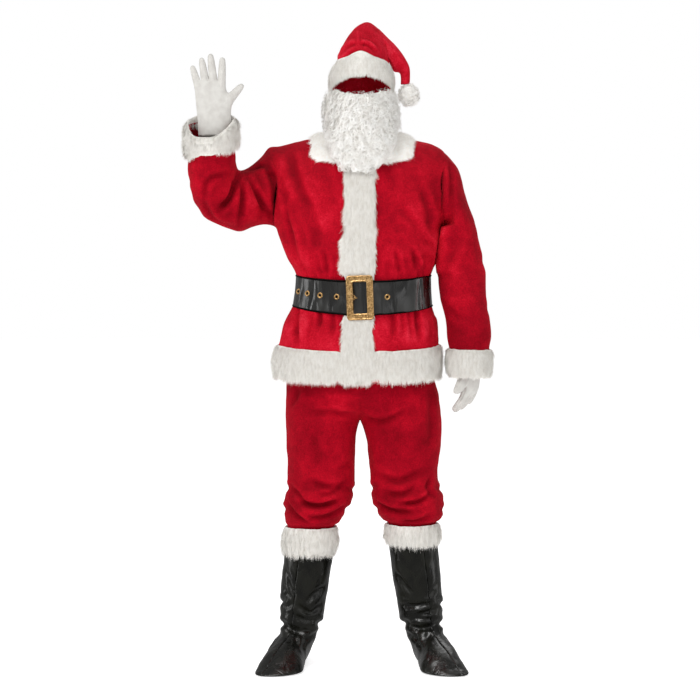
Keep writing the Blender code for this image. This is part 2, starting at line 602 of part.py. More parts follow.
def sleeve_grid(loop, sections, folds):
    """Rings from the armhole to the cuff; their columns start where the armhole's points are."""
    count = len(loop)
    low, high = loop[0][2], loop[count // 2][2]
    even = [360 * k / count for k in range(count)]
    shares = [min(max((point[2] - low) / (high - low), 0.0), 1.0) for point in loop]
    placed = [math.degrees(math.acos(1 - 2 * share)) for share in shares]
    placed = [angle if k <= count // 2 else 360 - angle for k, angle in enumerate(placed)]
    rows = [loop]
    for number, section in enumerate(sections, start=1):
        ease = min((number - 1) / EASE_RINGS, 1.0)
        angles = [a + (b - a) * ease for a, b in zip(placed, even)]
        rows.append(tube_ring(section, angles, lambda a: table_folds(folds, number, a)))
    return np.array(rows)


def build_jacket():
    left, back, right = jacket_grids()
    left_loop = armhole_loop(left[:, -1], back[:, 0])
    right_loop = armhole_loop(right[:, 0], back[:, -1])
    sleeves = (sleeve_grid(left_loop, LEFT_SLEEVE, LEFT_SLEEVE_FOLDS),
               sleeve_grid(right_loop, RIGHT_SLEEVE, RIGHT_SLEEVE_FOLDS))
    panels = [(left, False), (back, False), (right, False), (sleeves[0], True), (sleeves[1], True)]
    normals = shared_normals(panels)
    names = ("jacket_front_left", "jacket_back", "jacket_front_right", "sleeve_left", "sleeve_right")
    for name, (grid, closed), normal in zip(names, panels, normals):
        if closed:
            grid = grid.copy()
            grid[0, :, 0] += math.copysign(ARMHOLE_GAP, grid[0, 0, 0])
        cloth(name, grid, normal, PLUSH, closed, "plush", first=not closed)
    body = np.concatenate([left, back[:, 1:], right[:, 1:]], axis=1)
    body_normals = np.concatenate([normals[0], normals[1][:, 1:], normals[2][:, 1:]], axis=1)
    build_placket(body, body_normals)
    build_hem(body, body_normals)
    build_cuffs(sleeves, normals[3:])
    build_collar(left, back, right)
    build_belt(body, body_normals)
    build_waistband(body, body_normals)


def build_placket(body, normals):
    """Fur down the centre front, flattened where the belt and buckle press on it."""
    columns = [-3, -2, 0, 1, 2]
    rows = slice(0, SHOULDER_ROW)
    heights = np.array([section[0] for section in JACKET_SECTIONS[rows]])
    pile = np.array([read_table(PLACKET_PILE, height) for height in heights])
    grid = body[rows][:, columns]
    normal = normals[rows][:, columns]
    laid_on("fur_placket", grid, normal, pile[:, None], False, "fur", edge=0.6)


def build_hem(body, normals):
    """Fur round the hem, from one side of the placket to the other."""
    rows = slice(*HEM_FUR_ROWS)
    grid = body[rows, 2:-2]
    laid_on("fur_hem", grid, normals[rows, 2:-2], FUR, False, "fur")


def build_cuffs(sleeves, normals):
    spans = (LEFT_CUFF_ROWS, RIGHT_CUFF_ROWS)
    for side, grid, normal, span in zip(("left", "right"), sleeves, normals, spans):
        rows = slice(*span)
        laid_on("fur_cuff_" + side, grid[rows], normal[rows], FUR, True, "fur", edge=0.6)


def body_at(height, column_of):
    """Jacket surface point on one column at a section height between the rows."""
    heights = [section[0] for section in JACKET_SECTIONS]
    upper = min(max(int(np.searchsorted(heights, height)), 1), len(heights) - 1)
    share = (height - heights[upper - 1]) / (heights[upper] - heights[upper - 1])
    return column_of(upper - 1) * (1 - share) + column_of(upper) * share


def build_collar(left, back, right):
    """Two fur leaves over the shoulders, meeting at the centre back."""
    half = BACK_COLUMNS // 2
    sides = {
        "left": [(left, j) for j in range(2, left.shape[1])] + [(back, j) for j in range(1, half + 1)],
        "right": [(right, j) for j in range(right.shape[1] - 3, -1, -1)]
                 + [(back, j) for j in range(BACK_COLUMNS - 1, half - 1, -1)],
    }
    top = JACKET_SECTIONS[-1][0]
    for side, columns in sides.items():
        grid = []
        for share in COLLAR_SHARES:
            row = []
            for number, (panel, column) in enumerate(columns):
                turn = COLLAR_FRONT + (COLLAR_BACK - COLLAR_FRONT) * number / (len(columns) - 1)
                edge = read_table(COLLAR_EDGE, turn)
                height = top + (edge - top) * share
                row.append(body_at(height, lambda k: panel[k, column]))
            grid.append(row)
        grid = np.array(grid)
        normal = shared_normals([(grid, False)])[0]
        laid_on("fur_collar_" + side, grid, normal, FUR, False, "fur", gap=COLLAR_GAPS, edge=0.6)


# ---------------------------------------------------------------- belt
def belt_columns(total):
    """Body columns along the strap and how many layers lie under it at each."""
    first = list(range(BELT_LAP_START, total - 1))
    tail = list(range(0, BELT_TAIL_COLUMN + 1))
    return [(j, 0) for j in first] + [(j, 1 if j >= BELT_LAP_START else 0) for j in tail]


def build_belt(body, normals):
    rows = slice(*BELT_ROWS)
    total = body.shape[1]
    columns = belt_columns(total)
    lifts = []
    for column, layers in columns:
        over_placket = column <= 2 or column >= total - 3
        lift = LAID_GAP + (FUR_UNDER_BELT + LAID_GAP if over_placket else 0.0)
        lifts.append(lift + layers * (STRAP + LAID_GAP))
    picked = [column for column, _ in columns]
    base = body[rows][:, picked]
    normal = normals[rows][:, picked]
    inner = base + normal * np.array(lifts)[None, :, None]
    outer = inner + normal * STRAP
    wall("belt_strap", outer, inner, False, "vinyl")
    build_buckle(build_eyelets(outer) - LAID_GAP)


def strap_point(line, x):
    """Foremost point of one line along the strap at x, and the line's direction there."""
    best = None
    for a, b in zip(line[:-1], line[1:]):
        if min(a[0], b[0]) <= x <= max(a[0], b[0]) and a[1] < 0 and b[1] < 0 and a[0] != b[0]:
            point = a + (b - a) * (x - a[0]) / (b[0] - a[0])
            if best is None or point[1] < best[0][1]:
                best = (point, (b - a) / np.linalg.norm(b - a))
    return best


def build_eyelets(strap):
    """Seven pressed brass rings, flat on the strap's outer face; returns the foremost y."""
    inner, outer = EYELET_RADII
    sides = 10
    foremost = 0.0
    for number, x in enumerate(EYELET_X, start=1):
        low, middle, high = [strap_point(line, x) for line in strap]
        along = middle[1]
        up = (high[0] - low[0]) / np.linalg.norm(high[0] - low[0])
        out = np.cross(along, up)
        out /= np.linalg.norm(out)
        hollow = max(0.0, -np.dot(middle[0] - (low[0] + high[0]) / 2, out))
        bow = hollow * outer / np.linalg.norm(middle[0] - high[0]) + EYELET_BOW
        profile = ((inner, 0.0), (outer, 0.0), ((inner + outer) / 2, EYELET_THICK))
        vertices = []
        for k in range(sides):
            turn = 2 * math.pi * k / sides
            ray = along * math.cos(turn) + up * math.sin(turn)
            for radius, height in profile:
                vertices.append(middle[0] + ray * radius + out * (bow + height))
        faces = []
        for k in range(sides):
            after = (k + 1) % sides
            for p in range(3):
                q = (p + 1) % 3
                faces.append((3 * k + p, 3 * k + q, 3 * after + q, 3 * after + p))
        add_object("belt_eyelet_%d" % number, vertices, faces, "brass")
        foremost = min(foremost, min(vertex[1] for vertex in vertices))
    return foremost


def box(name, low, high, kind):
    """A plain block."""
    corners = [(x, y, z) for x in (low[0], high[0]) for y in (low[1], high[1]) for z in (low[2], high[2])]
    faces = [(0, 1, 3, 2), (4, 6, 7, 5), (0, 4, 5, 1), (2, 3, 7, 6), (0, 2, 6, 4), (1, 5, 7, 3)]
    return add_object(name, corners, faces, kind)


def build_buckle(face):
    """A rectangular frame in front of the strap, and the prong in its eyelet."""
    half_x, half_z = BUCKLE_SIZE[0] / 2, BUCKLE_SIZE[1] / 2
    bar_x, bar_z = BUCKLE_BARS
    lean = math.radians(BUCKLE_LEAN)
    bevel = 0.0015
    loops = (
        (half_x, half_z, 0.0), (half_x, half_z, BUCKLE_THICK - bevel),
        (half_x - bevel, half_z - bevel, BUCKLE_THICK),
        (half_x - bar_x + bevel, half_z - bar_z + bevel, BUCKLE_THICK),
        (half_x - bar_x, half_z - bar_z, BUCKLE_THICK - bevel),
        (half_x - bar_x, half_z - bar_z, 0.0),
    )
    vertices = []
    for x, z, height in loops:
        for sign_x, sign_z in ((1, 1), (-1, 1), (-1, -1), (1, -1)):
            px, pz = sign_x * x, sign_z * z
            vertices.append((BUCKLE_CENTRE[0] + px * math.cos(lean) - pz * math.sin(lean),
                             face - height,
                             BUCKLE_CENTRE[1] + px * math.sin(lean) + pz * math.cos(lean)))
    faces = []
    count = len(loops)
    for p in range(count):
        q = (p + 1) % count
        for k in range(4):
            after = (k + 1) % 4
            faces.append((4 * p + k, 4 * q + k, 4 * q + after, 4 * p + after))
    add_object("belt_buckle", vertices, faces, "brass")
    low = (PRONG_SPAN[0], face - PRONG_SIZE, BUCKLE_CENTRE[1] - PRONG_SIZE / 2)
    high = (PRONG_SPAN[1], face, BUCKLE_CENTRE[1] + PRONG_SIZE / 2)
    box("belt_prong", low, high, "brass")


def build_waistband(body, normals):
    """The trousers' elastic casing, just inside the belted waist of the jacket."""
    rows = slice(*BELT_ROWS)
    columns = slice(0, body.shape[1] - 1)
    level = normals[rows, columns] * (1.0, 1.0, 0.0)
    level = level / np.linalg.norm(level, axis=-1, keepdims=True)
    outer = body[rows, columns] - level * (PLUSH + LAID_GAP)
    inner = outer - level * WAIST_ELASTIC
    wall("trouser_waistband", outer, inner, True, "plush")


# ---------------------------------------------------------------- trousers
def leg_ring(section, folds):
    """Section of a leg: from the inseam round the front, the side and the back."""
    height, outer_x, inner_x, y, depth = section
    ring = []
    for k in range(LEG_COLUMNS + 1):
        angle = 360 * k / LEG_COLUMNS
        turn = math.radians(angle)
        x = (inner_x - outer_x) / 2 * math.cos(turn)
        forward = -depth * math.sin(turn)
        fold = 0.0
        for middle, where, half_high, half_turn, size in folds:
            fold += size * bell(height, middle, half_high) * bell(turn_between(angle, where), 0, half_turn)
        grow = 1 + fold / math.hypot(x, forward)
        ring.append(np.array([(inner_x + outer_x) / 2 + x * grow, y + forward * grow, height]))
    ring[-1] = ring[0].copy()
    return ring


def seat_ring(section, side):
    """Half of the hips: from the centre front seam round the side to the centre back."""
    height, right_x, left_x, front_seam, back_seam, front, back, leg_share, drop = section
    reach = right_x if side == "right" else left_x
    ring = []
    for k in range(LEG_COLUMNS + 1):
        share = (1 - math.cos(2 * math.pi * k / LEG_COLUMNS)) / 2
        outline = max(1 - share ** SEAT_POWER, 0.0) ** (1 / SEAT_POWER)
        in_front = k <= LEG_COLUMNS / 2
        seam, full = (front_seam, front) if in_front else (back_seam, back)
        level = min(seam / full, 1.0)
        ease = min(share / SEAT_EASE, 1.0)
        hips = outline * (level + (1 - level) * ease * ease * (3 - 2 * ease))
        leg = abs(math.sin(2 * math.pi * k / LEG_COLUMNS))
        depth = hips + (leg - hips) * leg_share
        lower = drop * depth ** BODY_POWER if in_front else 0.0
        ring.append(np.array([reach * share, full * depth, height - lower]))
    return ring


def build_trousers():
    grids = []
    for side, legs, folds in (("right", RIGHT_LEG, RIGHT_LEG_FOLDS), ("left", LEFT_LEG, LEFT_LEG_FOLDS)):
        rows = [leg_ring(section, folds) for section in legs]
        rows += [seat_ring(section, side) for section in SEAT_SECTIONS]
        grids.append(np.array(rows))
    normals = shared_normals([(grid, False) for grid in grids])
    for side, grid, normal in zip(("right", "left"), grids, normals):
        cloth("trouser_leg_" + side, grid, normal, PLUSH, False, "plush")


# ---------------------------------------------------------------- hat
def build_hat():
    quarter = HAT_COLUMNS // 4
    angles = [360 * k / HAT_COLUMNS for k in range(HAT_COLUMNS)]
    grid = np.array([tube_ring(section, angles, lambda a: table_folds(HAT_FOLDS, number, a))
                     for number, section in enumerate(HAT_SECTIONS)])
    normals = shared_normals([(grid, True)])[0]
    right = [k % HAT_COLUMNS for k in range(quarter, 3 * quarter + 1)]
    left = [k % HAT_COLUMNS for k in range(3 * quarter, 5 * quarter + 1)]
    for side, columns in (("right", right), ("left", left)):
        cloth("hat_crown_" + side, grid[:, columns], normals[:, columns], PLUSH, False, "plush",
              pull=HAT_SEAM_PULL)
    rows = slice(*HAT_BAND_ROWS)
    laid_on("hat_fur_band", grid[rows], normals[rows], FUR, True, "fur", edge=0.6)
    build_pompom()


def build_pompom():
    """The fur ball that closes the tail, seated under its end."""
    rings, sides = 8, 12
    x, z, y = POMPOM_CENTRE
    vertices = [(x, y, z + POMPOM_RADIUS)]
    for i in range(1, rings):
        polar = math.pi * i / rings
        for k in range(sides):
            turn = 2 * math.pi * k / sides
            radius = POMPOM_RADIUS * math.sin(polar)
            vertices.append((x + radius * math.cos(turn), y + radius * math.sin(turn),
                             z + POMPOM_RADIUS * math.cos(polar)))
    vertices.append((x, y, z - POMPOM_RADIUS))
    last = len(vertices) - 1
    faces = []
    for k in range(sides):
        after = (k + 1) % sides
        faces.append((0, 1 + k, 1 + after))
        faces.append((last, last - sides + after, last - sides + k))
        for i in range(rings - 2):
            low = 1 + i * sides
            faces.append((low + k, low + sides + k, low + sides + after, low + after))
    add_object("hat_pompom", vertices, faces, "fur")


# ---------------------------------------------------------------- beard
def build_beard():
    """Curled hair on one curved backing, from ear to ear and down over the collar."""
    outer, inner = [], []
    for number, (height, centre, half, side_y, front_y) in enumerate(BEARD_SECTIONS):
        ring, hollow = [], []
        for k in range(BEARD_COLUMNS + 1):
            angle = 180 * k / BEARD_COLUMNS
            turn = math.radians(angle)
            rise = read_table(BEARD_RISE, min(angle, 180 - angle)) if number == 0 else 0.0
            curl = BEARD_CURL * math.sin(BEARD_WAVES * turn + BEARD_STAGGER * number)
            arm = np.array([half * math.cos(turn), (front_y - side_y) * math.sin(turn), 0.0])
            middle = np.array([centre, side_y, height + rise])
            length = np.linalg.norm(arm)
            ring.append(middle + arm * (1 + curl / length))
            hollow.append(middle + arm * (1 - BEARD_DEPTH / max(length, BEARD_CORE)))
        outer.append(ring)
        inner.append(hollow)
    wall("beard", np.array(outer), np.array(inner), False, "hair")


# ---------------------------------------------------------------- boot covers
def boot_ring(section, ankle, side):
    """Section of a boot cover: 0 degrees at the front seam, growing to the wearer's left."""
    height, lean, back, front, half, ball = section
    inward = 1 if side == "right" else -1
    turn_out = math.radians(BOOT_TURN) * inward
    toe = np.array([-math.sin(turn_out), -math.cos(turn_out), 0.0])
    left = np.array([math.cos(turn_out), -math.sin(turn_out), 0.0])
    centre = np.array([ankle[0] + inward * lean, ankle[1], height])
    ring = []
    for k in range(2 * BOOT_COLUMNS):
        angle = 180 * k / BOOT_COLUMNS
        turn = math.radians(angle)
        along = (front + back) / 2 + (front - back) / 2 * math.cos(turn)
        width = half * math.sin(turn) * (1 + ball * math.cos(turn))
        fold = 0.0
        for middle, where, half_high, half_turn, depth in BOOT_CREASES:
            fold += depth * bell(height, middle, half_high) * bell(turn_between(angle, where), 0, half_turn)
        arm = toe * (along - (front + back) / 2) + left * width
        grow = 1 + fold / np.linalg.norm(arm)
        ring.append(centre + toe * (front + back) / 2 + arm * grow)
    return ring


def build_boots():
    for side, ankle, fur in (("right", RIGHT_BOOT_ANKLE, RIGHT_BOOT_FUR),
                             ("left", LEFT_BOOT_ANKLE, LEFT_BOOT_FUR)):
        grid = np.array([boot_ring(section, ankle, side) for section in BOOT_SECTIONS])
        normals = shared_normals([(grid, True)])[0]
        count = 2 * BOOT_COLUMNS
        halves = ([k for k in range(BOOT_COLUMNS + 1)],
                  [k % count for k in range(BOOT_COLUMNS, count + 1)])
        names = ("inner", "outer") if side == "right" else ("outer", "inner")
        for name, columns in zip(names, halves):
            cloth("boot_%s_%s" % (side, name), grid[:, columns], normals[:, columns], VINYL, False,
                  "vinyl")
        build_boot_fur(side, grid, normals, fur)


def build_boot_fur(side, grid, normals, span):
    """The fur band round the top of the shaft."""
    heights = grid[::-1, 0, 2]
    rows, row_normals = [], []
    for height in np.linspace(span[0], span[1], 4):
        upper = min(max(int(np.searchsorted(heights, height)), 1), len(heights) - 1)
        share = (height - heights[upper - 1]) / (heights[upper] - heights[upper - 1])
        low, high = len(heights) - upper, len(heights) - 1 - upper
        rows.append(grid[low] * (1 - share) + grid[high] * share)
        row_normals.append(normals[low] * (1 - share) + normals[high] * share)
    laid_on("boot_fur_" + side, np.array(rows), np.array(row_normals), FUR, True, "fur", edge=0.6)


# ---------------------------------------------------------------- gloves
def loft(rings):
    """Vertices and faces of a closed body through rings, with flat ends."""
    sides = len(rings[0])
    vertices = [point for ring in rings for point in ring]
    faces = [tuple(range(sides))[::-1], tuple(range(len(vertices) - sides, len(vertices)))]
    for i in range(len(rings) - 1):
        for k in range(sides):
            after = (k + 1) % sides
            faces.append((i * sides + k, i * sides + after,
                          (i + 1) * sides + after, (i + 1) * sides + k))
    return vertices, faces


def palm_rings(shrink, past):
    """Rings of the palm; the hollow is smaller by the cloth and runs on past the wrist."""
    sides = 12
    rings = []
    for number, (y, low, high, thick) in enumerate(PALM_SECTIONS):
        y += -past if number == 0 else (-shrink if number == len(PALM_SECTIONS) - 1 else 0)
        middle, half = (low + high) / 2, (high - low) / 2 - shrink
        ring = []
        for k in range(sides):
            turn = 2 * math.pi * (k + 0.5) / sides
            ring.append((middle + half * math.cos(turn), y, -(thick - shrink) * math.sin(turn)))
        rings.append(ring)
    return rings


def finger_rings(finger, shrink):
    """Rings of a finger along its axis, rounded at the tip."""
    base_x, base_y, tip_x, tip_y, base_radius, tip_radius = finger
    sides = 6
    start = np.array([base_x, base_y, 0.0])
    axis = np.array([tip_x - base_x, tip_y - base_y, 0.0])
    length = np.linalg.norm(axis)
    axis /= length
    side = np.array([axis[1], -axis[0], 0.0])
    tip = tip_radius - shrink
    reach = length - shrink
    stations = [(0.0, base_radius - shrink), (reach * 0.5, (base_radius + tip_radius) / 2 - shrink),
                (reach - tip * 0.8, tip), (reach, tip * 0.45)]
    rings = []
    for distance, radius in stations:
        ring = []
        for k in range(sides):
            turn = 2 * math.pi * (k + 0.5) / sides
            point = start + axis * distance + side * radius * math.cos(turn)
            point = point + np.array([0.0, 0.0, -radius * math.sin(turn)])
            ring.append(tuple(point))
        rings.append(ring)
    return rings


def plain_object(name, vertices, faces):
    mesh = bpy.data.meshes.new(name)
    mesh.from_pydata([tuple(v) for v in vertices], [], faces)
    obj = bpy.data.objects.new(name, mesh)
    bpy.context.scene.collection.objects.link(obj)
    return obj


def combine(body, other, operation):
    """Applies one exact boolean and removes the other body."""
    step = body.modifiers.new(operation, "BOOLEAN")
    step.operation = operation
    step.solver = "EXACT"
    step.object = other
    graph = bpy.context.evaluated_depsgraph_get()
    result = bpy.data.meshes.new_from_object(body.evaluated_get(graph))
    body.modifiers.clear()
    body.data = result
    bpy.data.objects.remove(other, do_unlink=True)
    return body


def hand_body(fingers, shrink, past, bend):
    """Palm and fingers in one closed body, bent into the hand's pose."""

    def bent(rings):
        vertices, faces = loft(rings)
        return [bend(vertex) for vertex in vertices], faces

    body = plain_object("hand", *bent(palm_rings(shrink, past)))
    for finger in fingers:
        body = combine(body, plain_object("finger", *bent(finger_rings(finger, shrink))), "UNION")
    return body


def half_space(sign, bend):
    """A bent block that holds everything on one side of the seam round the hand's edge."""
    across, along = HALF_ACROSS, HALF_ALONG
    near, far = sign * SEAM_PULL, sign * HALF_REACH
    count = len(across) * len(along)
    vertices = [bend((x, y, z)) for z in (near, far) for x in across for y in along]
    faces = []
    width = len(along)
    for i in range(len(across) - 1):
        for j in range(width - 1):
            corners = (i * width + j, (i + 1) * width + j, (i + 1) * width + j + 1, i * width + j + 1)
            faces.append(corners[::-1] if sign > 0 else corners)
            above = tuple(count + c for c in corners)
            faces.append(above if sign > 0 else above[::-1])
    border = [(i, 0) for i in range(len(across))]
    border += [(len(across) - 1, j) for j in range(1, width)]
    border += [(i, width - 1) for i in range(len(across) - 2, -1, -1)]
    border += [(0, j) for j in range(width - 2, 0, -1)]
    for (i, j), (p, q) in zip(border, border[1:] + border[:1]):
        here, there = i * width + j, p * width + q
        side = (here, there, count + there, count + here)
        faces.append(side if sign > 0 else side[::-1])
    return plain_object("half", vertices, faces)


def glove_halves(fingers, bend):
    """Palm half and back half of a hollow glove."""
    halves = []
    for sign in (1, -1):
        body = hand_body(fingers, 0.0, 0.0, bend)
        hollow = hand_body(fingers, COTTON, GLOVE_MOUTH, bend)
        combine(body, hollow, "DIFFERENCE")
        combine(body, half_space(sign, bend), "INTERSECT")
        halves.append(body)
    return halves


def merge_flat_faces(mesh):
    """Joins the slivers that the cuts left in one plane."""
    work = bmesh.new()
    work.from_mesh(mesh)
    bmesh.ops.dissolve_limit(work, angle_limit=math.radians(1.0), verts=work.verts[:], edges=work.edges[:])
    bmesh.ops.triangulate(work, faces=work.faces[:])
    work.to_mesh(mesh)
    work.free()


def straight_hand(point):
    return point


def curl_hand(point):
    """Bends the fingers towards the palm and leans the thumb in."""
    x, y, z = point
    thumb_z = z + max(x - THUMB_ROOT, 0.0) * THUMB_TUCK
    start, stop = CURL_SPAN
    if y <= start:
        return x, y, thumb_z
    along = min(y, stop) - start
    angle = math.radians(FINGER_CURL) * along / (stop - start)
    radius = (stop - start) / math.radians(FINGER_CURL)
    beyond = max(y - stop, 0.0)
    finger_y = start + (radius - z) * math.sin(angle) + beyond * math.cos(angle)
    finger_z = radius - (radius - z) * math.cos(angle) + beyond * math.sin(angle)
    finger = min(max((THUMB_ROOT + THUMB_EASE - x) / THUMB_EASE, 0.0), 1.0)
    return x, y + finger * (finger_y - y), thumb_z + finger * (finger_z - thumb_z)


def place_raised(point):
    """Palm to the front, fingers up; the hand leans as the forearm does."""
    x, y, z = point
    return RAISED_WRIST[0] + x, RAISED_WRIST[1] - z - RAISED_LEAN * y, RAISED_WRIST[2] + y


def place_hanging(point):
    """Fingers down, palm to the body, thumb to the front."""
    x, y, z = point
    turn = math.radians(HAND_TURN)
    return (HANGING_WRIST[0] - x * math.sin(turn) - z * math.cos(turn),
            HANGING_WRIST[1] - x * math.cos(turn) + z * math.sin(turn),
            HANGING_WRIST[2] - y)


def build_gloves():
    for side, fingers, bend, place in (("right", RAISED_FINGERS, straight_hand, place_raised),
                                       ("left", HANGING_FINGERS, curl_hand, place_hanging)):
        for half, body in zip(("palm", "back"), glove_halves(fingers, bend)):
            body.name = "glove_%s_%s" % (side, half)
            for vertex in body.data.vertices:
                vertex.co = place(tuple(vertex.co))
            if side == "left":
                body.data.flip_normals()
            merge_flat_faces(body.data)
            body.data.materials.clear()
            body.data.materials.append(material("cotton"))
            body.data.shade_smooth()
            body.parent = bpy.data.objects["suit"]


# ---------------------------------------------------------------- assembly
def main():
    clear_scene()
    suit = bpy.data.objects.new("suit", None)
    suit.location = (0.0, 0.0, -NECK_HEIGHT)
    bpy.context.scene.collection.objects.link(suit)
    build_jacket()
    build_trousers()
    build_hat()
    build_beard()
    build_boots()
    build_gloves()


main()
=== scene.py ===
# %% [markdown]
# # A santa suit, dressed over its CAD solids
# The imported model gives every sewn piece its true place. Each cell below takes those solids as patterns
# and makes the thing that the eye sees: plush with folds, deep fur, curled hair, vinyl, brass and cotton.

# %% The frame: CAD solids, and the box they fill
import math
import bmesh
import bpy
import numpy as np
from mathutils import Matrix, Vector, noise
from mathutils.bvhtree import BVHTree
from mathutils.kdtree import KDTree


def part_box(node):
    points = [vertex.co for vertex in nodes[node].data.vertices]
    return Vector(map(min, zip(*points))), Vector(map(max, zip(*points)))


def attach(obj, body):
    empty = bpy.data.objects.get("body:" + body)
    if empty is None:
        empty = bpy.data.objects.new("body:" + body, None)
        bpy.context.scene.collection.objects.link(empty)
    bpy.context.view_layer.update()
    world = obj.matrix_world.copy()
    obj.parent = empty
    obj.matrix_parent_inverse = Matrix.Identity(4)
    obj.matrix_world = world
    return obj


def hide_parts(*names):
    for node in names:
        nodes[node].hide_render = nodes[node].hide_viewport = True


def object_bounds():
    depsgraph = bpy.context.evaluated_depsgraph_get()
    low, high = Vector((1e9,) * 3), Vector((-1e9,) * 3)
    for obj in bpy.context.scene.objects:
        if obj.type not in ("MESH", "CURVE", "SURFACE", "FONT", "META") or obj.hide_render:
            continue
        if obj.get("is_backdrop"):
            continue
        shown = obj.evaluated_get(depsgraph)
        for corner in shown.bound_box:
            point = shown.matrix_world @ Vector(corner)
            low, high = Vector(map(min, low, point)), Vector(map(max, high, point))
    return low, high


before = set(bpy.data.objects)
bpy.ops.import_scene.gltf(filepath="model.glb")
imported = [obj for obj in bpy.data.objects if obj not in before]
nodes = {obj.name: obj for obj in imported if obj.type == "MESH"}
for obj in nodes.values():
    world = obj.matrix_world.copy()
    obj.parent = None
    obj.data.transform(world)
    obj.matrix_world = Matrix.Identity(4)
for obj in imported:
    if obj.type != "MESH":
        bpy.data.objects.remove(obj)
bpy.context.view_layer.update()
scene = bpy.context.scene
floor_height = -1.5


def placed(title, data):
    """A new object in the scene."""
    piece = bpy.data.objects.new(title, data)
    scene.collection.objects.link(piece)
    return piece


# %% [markdown]
# ## Camera
# A long lens at chest height sees a standing figure almost without distortion, as a catalogue does. It could
# stand straight on with the lens shifted; tilting it a little down keeps other views simple.

# %% Camera
camera_data = bpy.data.cameras.new("camera")
camera_data.sensor_width = 36
camera_data.lens = 126.787
camera = placed("camera", camera_data)
camera.location = (-0.02845, -7.0, -0.1458)
camera.rotation_euler = (math.radians(90 - 3.7506), 0, 0)
scene.camera = camera
print("camera at", tuple(camera.location))

# %% [markdown]
# ## Finishes: small helpers
# Every finish is a small graph of nodes. One function adds a node with its settings and links, and another
# turns the hex value of a colour as seen on screen into the linear light that Blender mixes.

# %% Helpers for finishes


def linear(hex_colour):
    """An sRGB hex colour as linear red, green, blue and alpha."""
    parts = [int(hex_colour[i:i + 2], 16) / 255 for i in (0, 2, 4)]
    return tuple(p / 12.92 if p <= 0.04045 else ((p + 0.055) / 1.055) ** 2.4 for p in parts) + (1.0,)


def add(tree, kind, values=None, links=None, **settings):
    """A new shader node with its settings, socket values and incoming links."""
    node = tree.nodes.new("ShaderNode" + kind)
    for name, value in settings.items():
        setattr(node, name, value)
    for name, value in (values or {}).items():
        node.inputs[name].default_value = value
    for name, socket in (links or {}).items():
        tree.links.new(socket, node.inputs[name])
    return node


def new_finish(name, values):
    """A new material with its constants: its tree, its surface shader and the place on the object."""
    material = bpy.data.materials.new(name)
    material.use_nodes = True
    tree = material.node_tree
    tree.nodes.clear()
    shader = add(tree, "BsdfPrincipled", values)
    add(tree, "OutputMaterial", links={"Surface": shader.outputs["BSDF"]})
    return material, tree, shader, add(tree, "TexCoord").outputs["Object"]


def ramp(tree, factor, stops):
    """A colour ramp: pairs of place and hex colour."""
    node = add(tree, "ValToRGB", links={"Fac": factor})
    elements = node.color_ramp.elements
    while len(elements) < len(stops):
        elements.new(0.5)
    for element, (place, colour) in zip(elements, stops):
        element.position = place
        element.color = linear(colour)
    return node.outputs["Color"]


def clouds(tree, place, size, detail, **more):
    """Soft noise with spots of about one size, in metres."""
    values = {"Scale": 1 / size, "Detail": detail, **more}
    return add(tree, "TexNoise", values, {"Vector": place}).outputs["Fac"]


def blend(tree, share, one, two):
    """One number, with a share of another."""
    return add(tree, "Mix", {0: share}, {2: one, 3: two}, data_type="FLOAT").outputs[0]


def bump(tree, strength, distance, height, over=None):
    """Small relief as a normal, over the normal of finer relief if there is one."""
    links = {"Height": height} if over is None else {"Height": height, "Normal": over}
    return add(tree, "Bump", {"Strength": strength, "Distance": distance}, links).outputs["Normal"]


def dress(tree, shader, colour, normal):
    """Gives a finish its colour and its relief."""
    tree.links.new(colour, shader.inputs["Base Color"])
    tree.links.new(normal, shader.inputs["Normal"])


# %% [markdown]
# ## Red plush
# Polyester plush is a knit with a 2 mm cut pile. The pile lies in brushed patches: where it leans to the
# light it is paler, where it leans away it is deep red, and its tips give a pink rim at grazing angles.
# Sheen makes the rim; noise at 110, 22 and 3 mm makes the patches and the nap. The shade and highlight of
# the folds are painted too: each cloth carries a number of how far it was pressed in or raised, and the red
# is painted darker down in a crease and paler on a ridge.

# %% Red plush
plush, tree, shader, place = new_finish("polyester plush, cut pile, red", {
    "Roughness": 0.90, "Specular IOR Level": 0.06, "Sheen Weight": 0.30, "Sheen Roughness": 0.40,
    "Sheen Tint": linear("FF3040")})
patch_size, brush_size, nap_size = 0.110, 0.022, 0.0032   # metres; the nap is drawn coarser to show
patches = clouds(tree, place, patch_size, 3.0, Roughness=0.55)
brushed = clouds(tree, place, brush_size, 4.0, Roughness=0.65, Distortion=0.6)
nap = clouds(tree, place, nap_size, 2.0, Roughness=0.6)
lean = blend(tree, 0.36, blend(tree, 0.36, patches, brushed), nap)
# Painted shade and highlight of the folds: darker red where the cloth was pressed in, paler where raised.
worn = add(tree, "Attribute", attribute_name="worn", attribute_type="GEOMETRY").outputs["Fac"]
crease_shade_offset = add(tree, "MapRange", {"From Min": 0.0, "From Max": 1.0, "To Min": -0.20, "To Max": 0.20},
              {"Value": worn}).outputs["Result"]
shown = add(tree, "Math", links={0: lean, 1: crease_shade_offset}, operation="ADD").outputs[0]
reds = [(0.28, "72000E"), (0.43, "900217"), (0.55, "AC061D"), (0.64, "C21229"), (0.80, "DC3346")]
dress(tree, shader, ramp(tree, shown, reds),
      bump(tree, 0.30, 0.005, brushed, over=bump(tree, 0.55, 0.0016, nap)))
print("plush patches", patch_size, "brushing", brush_size, "nap", nap_size)

# %% [markdown]
# ## White fur and white curls
# Faux fur is 12 to 25 mm of fine acrylic hair. Light passes along and between the hairs, so roots look
# greyer than tips. Each hair made below carries a number from 0 at its root to 1 at its tip, and the colour
# reads it. The beard is the same fibre set in curls, a little glossier.

# %% White fur and white curls


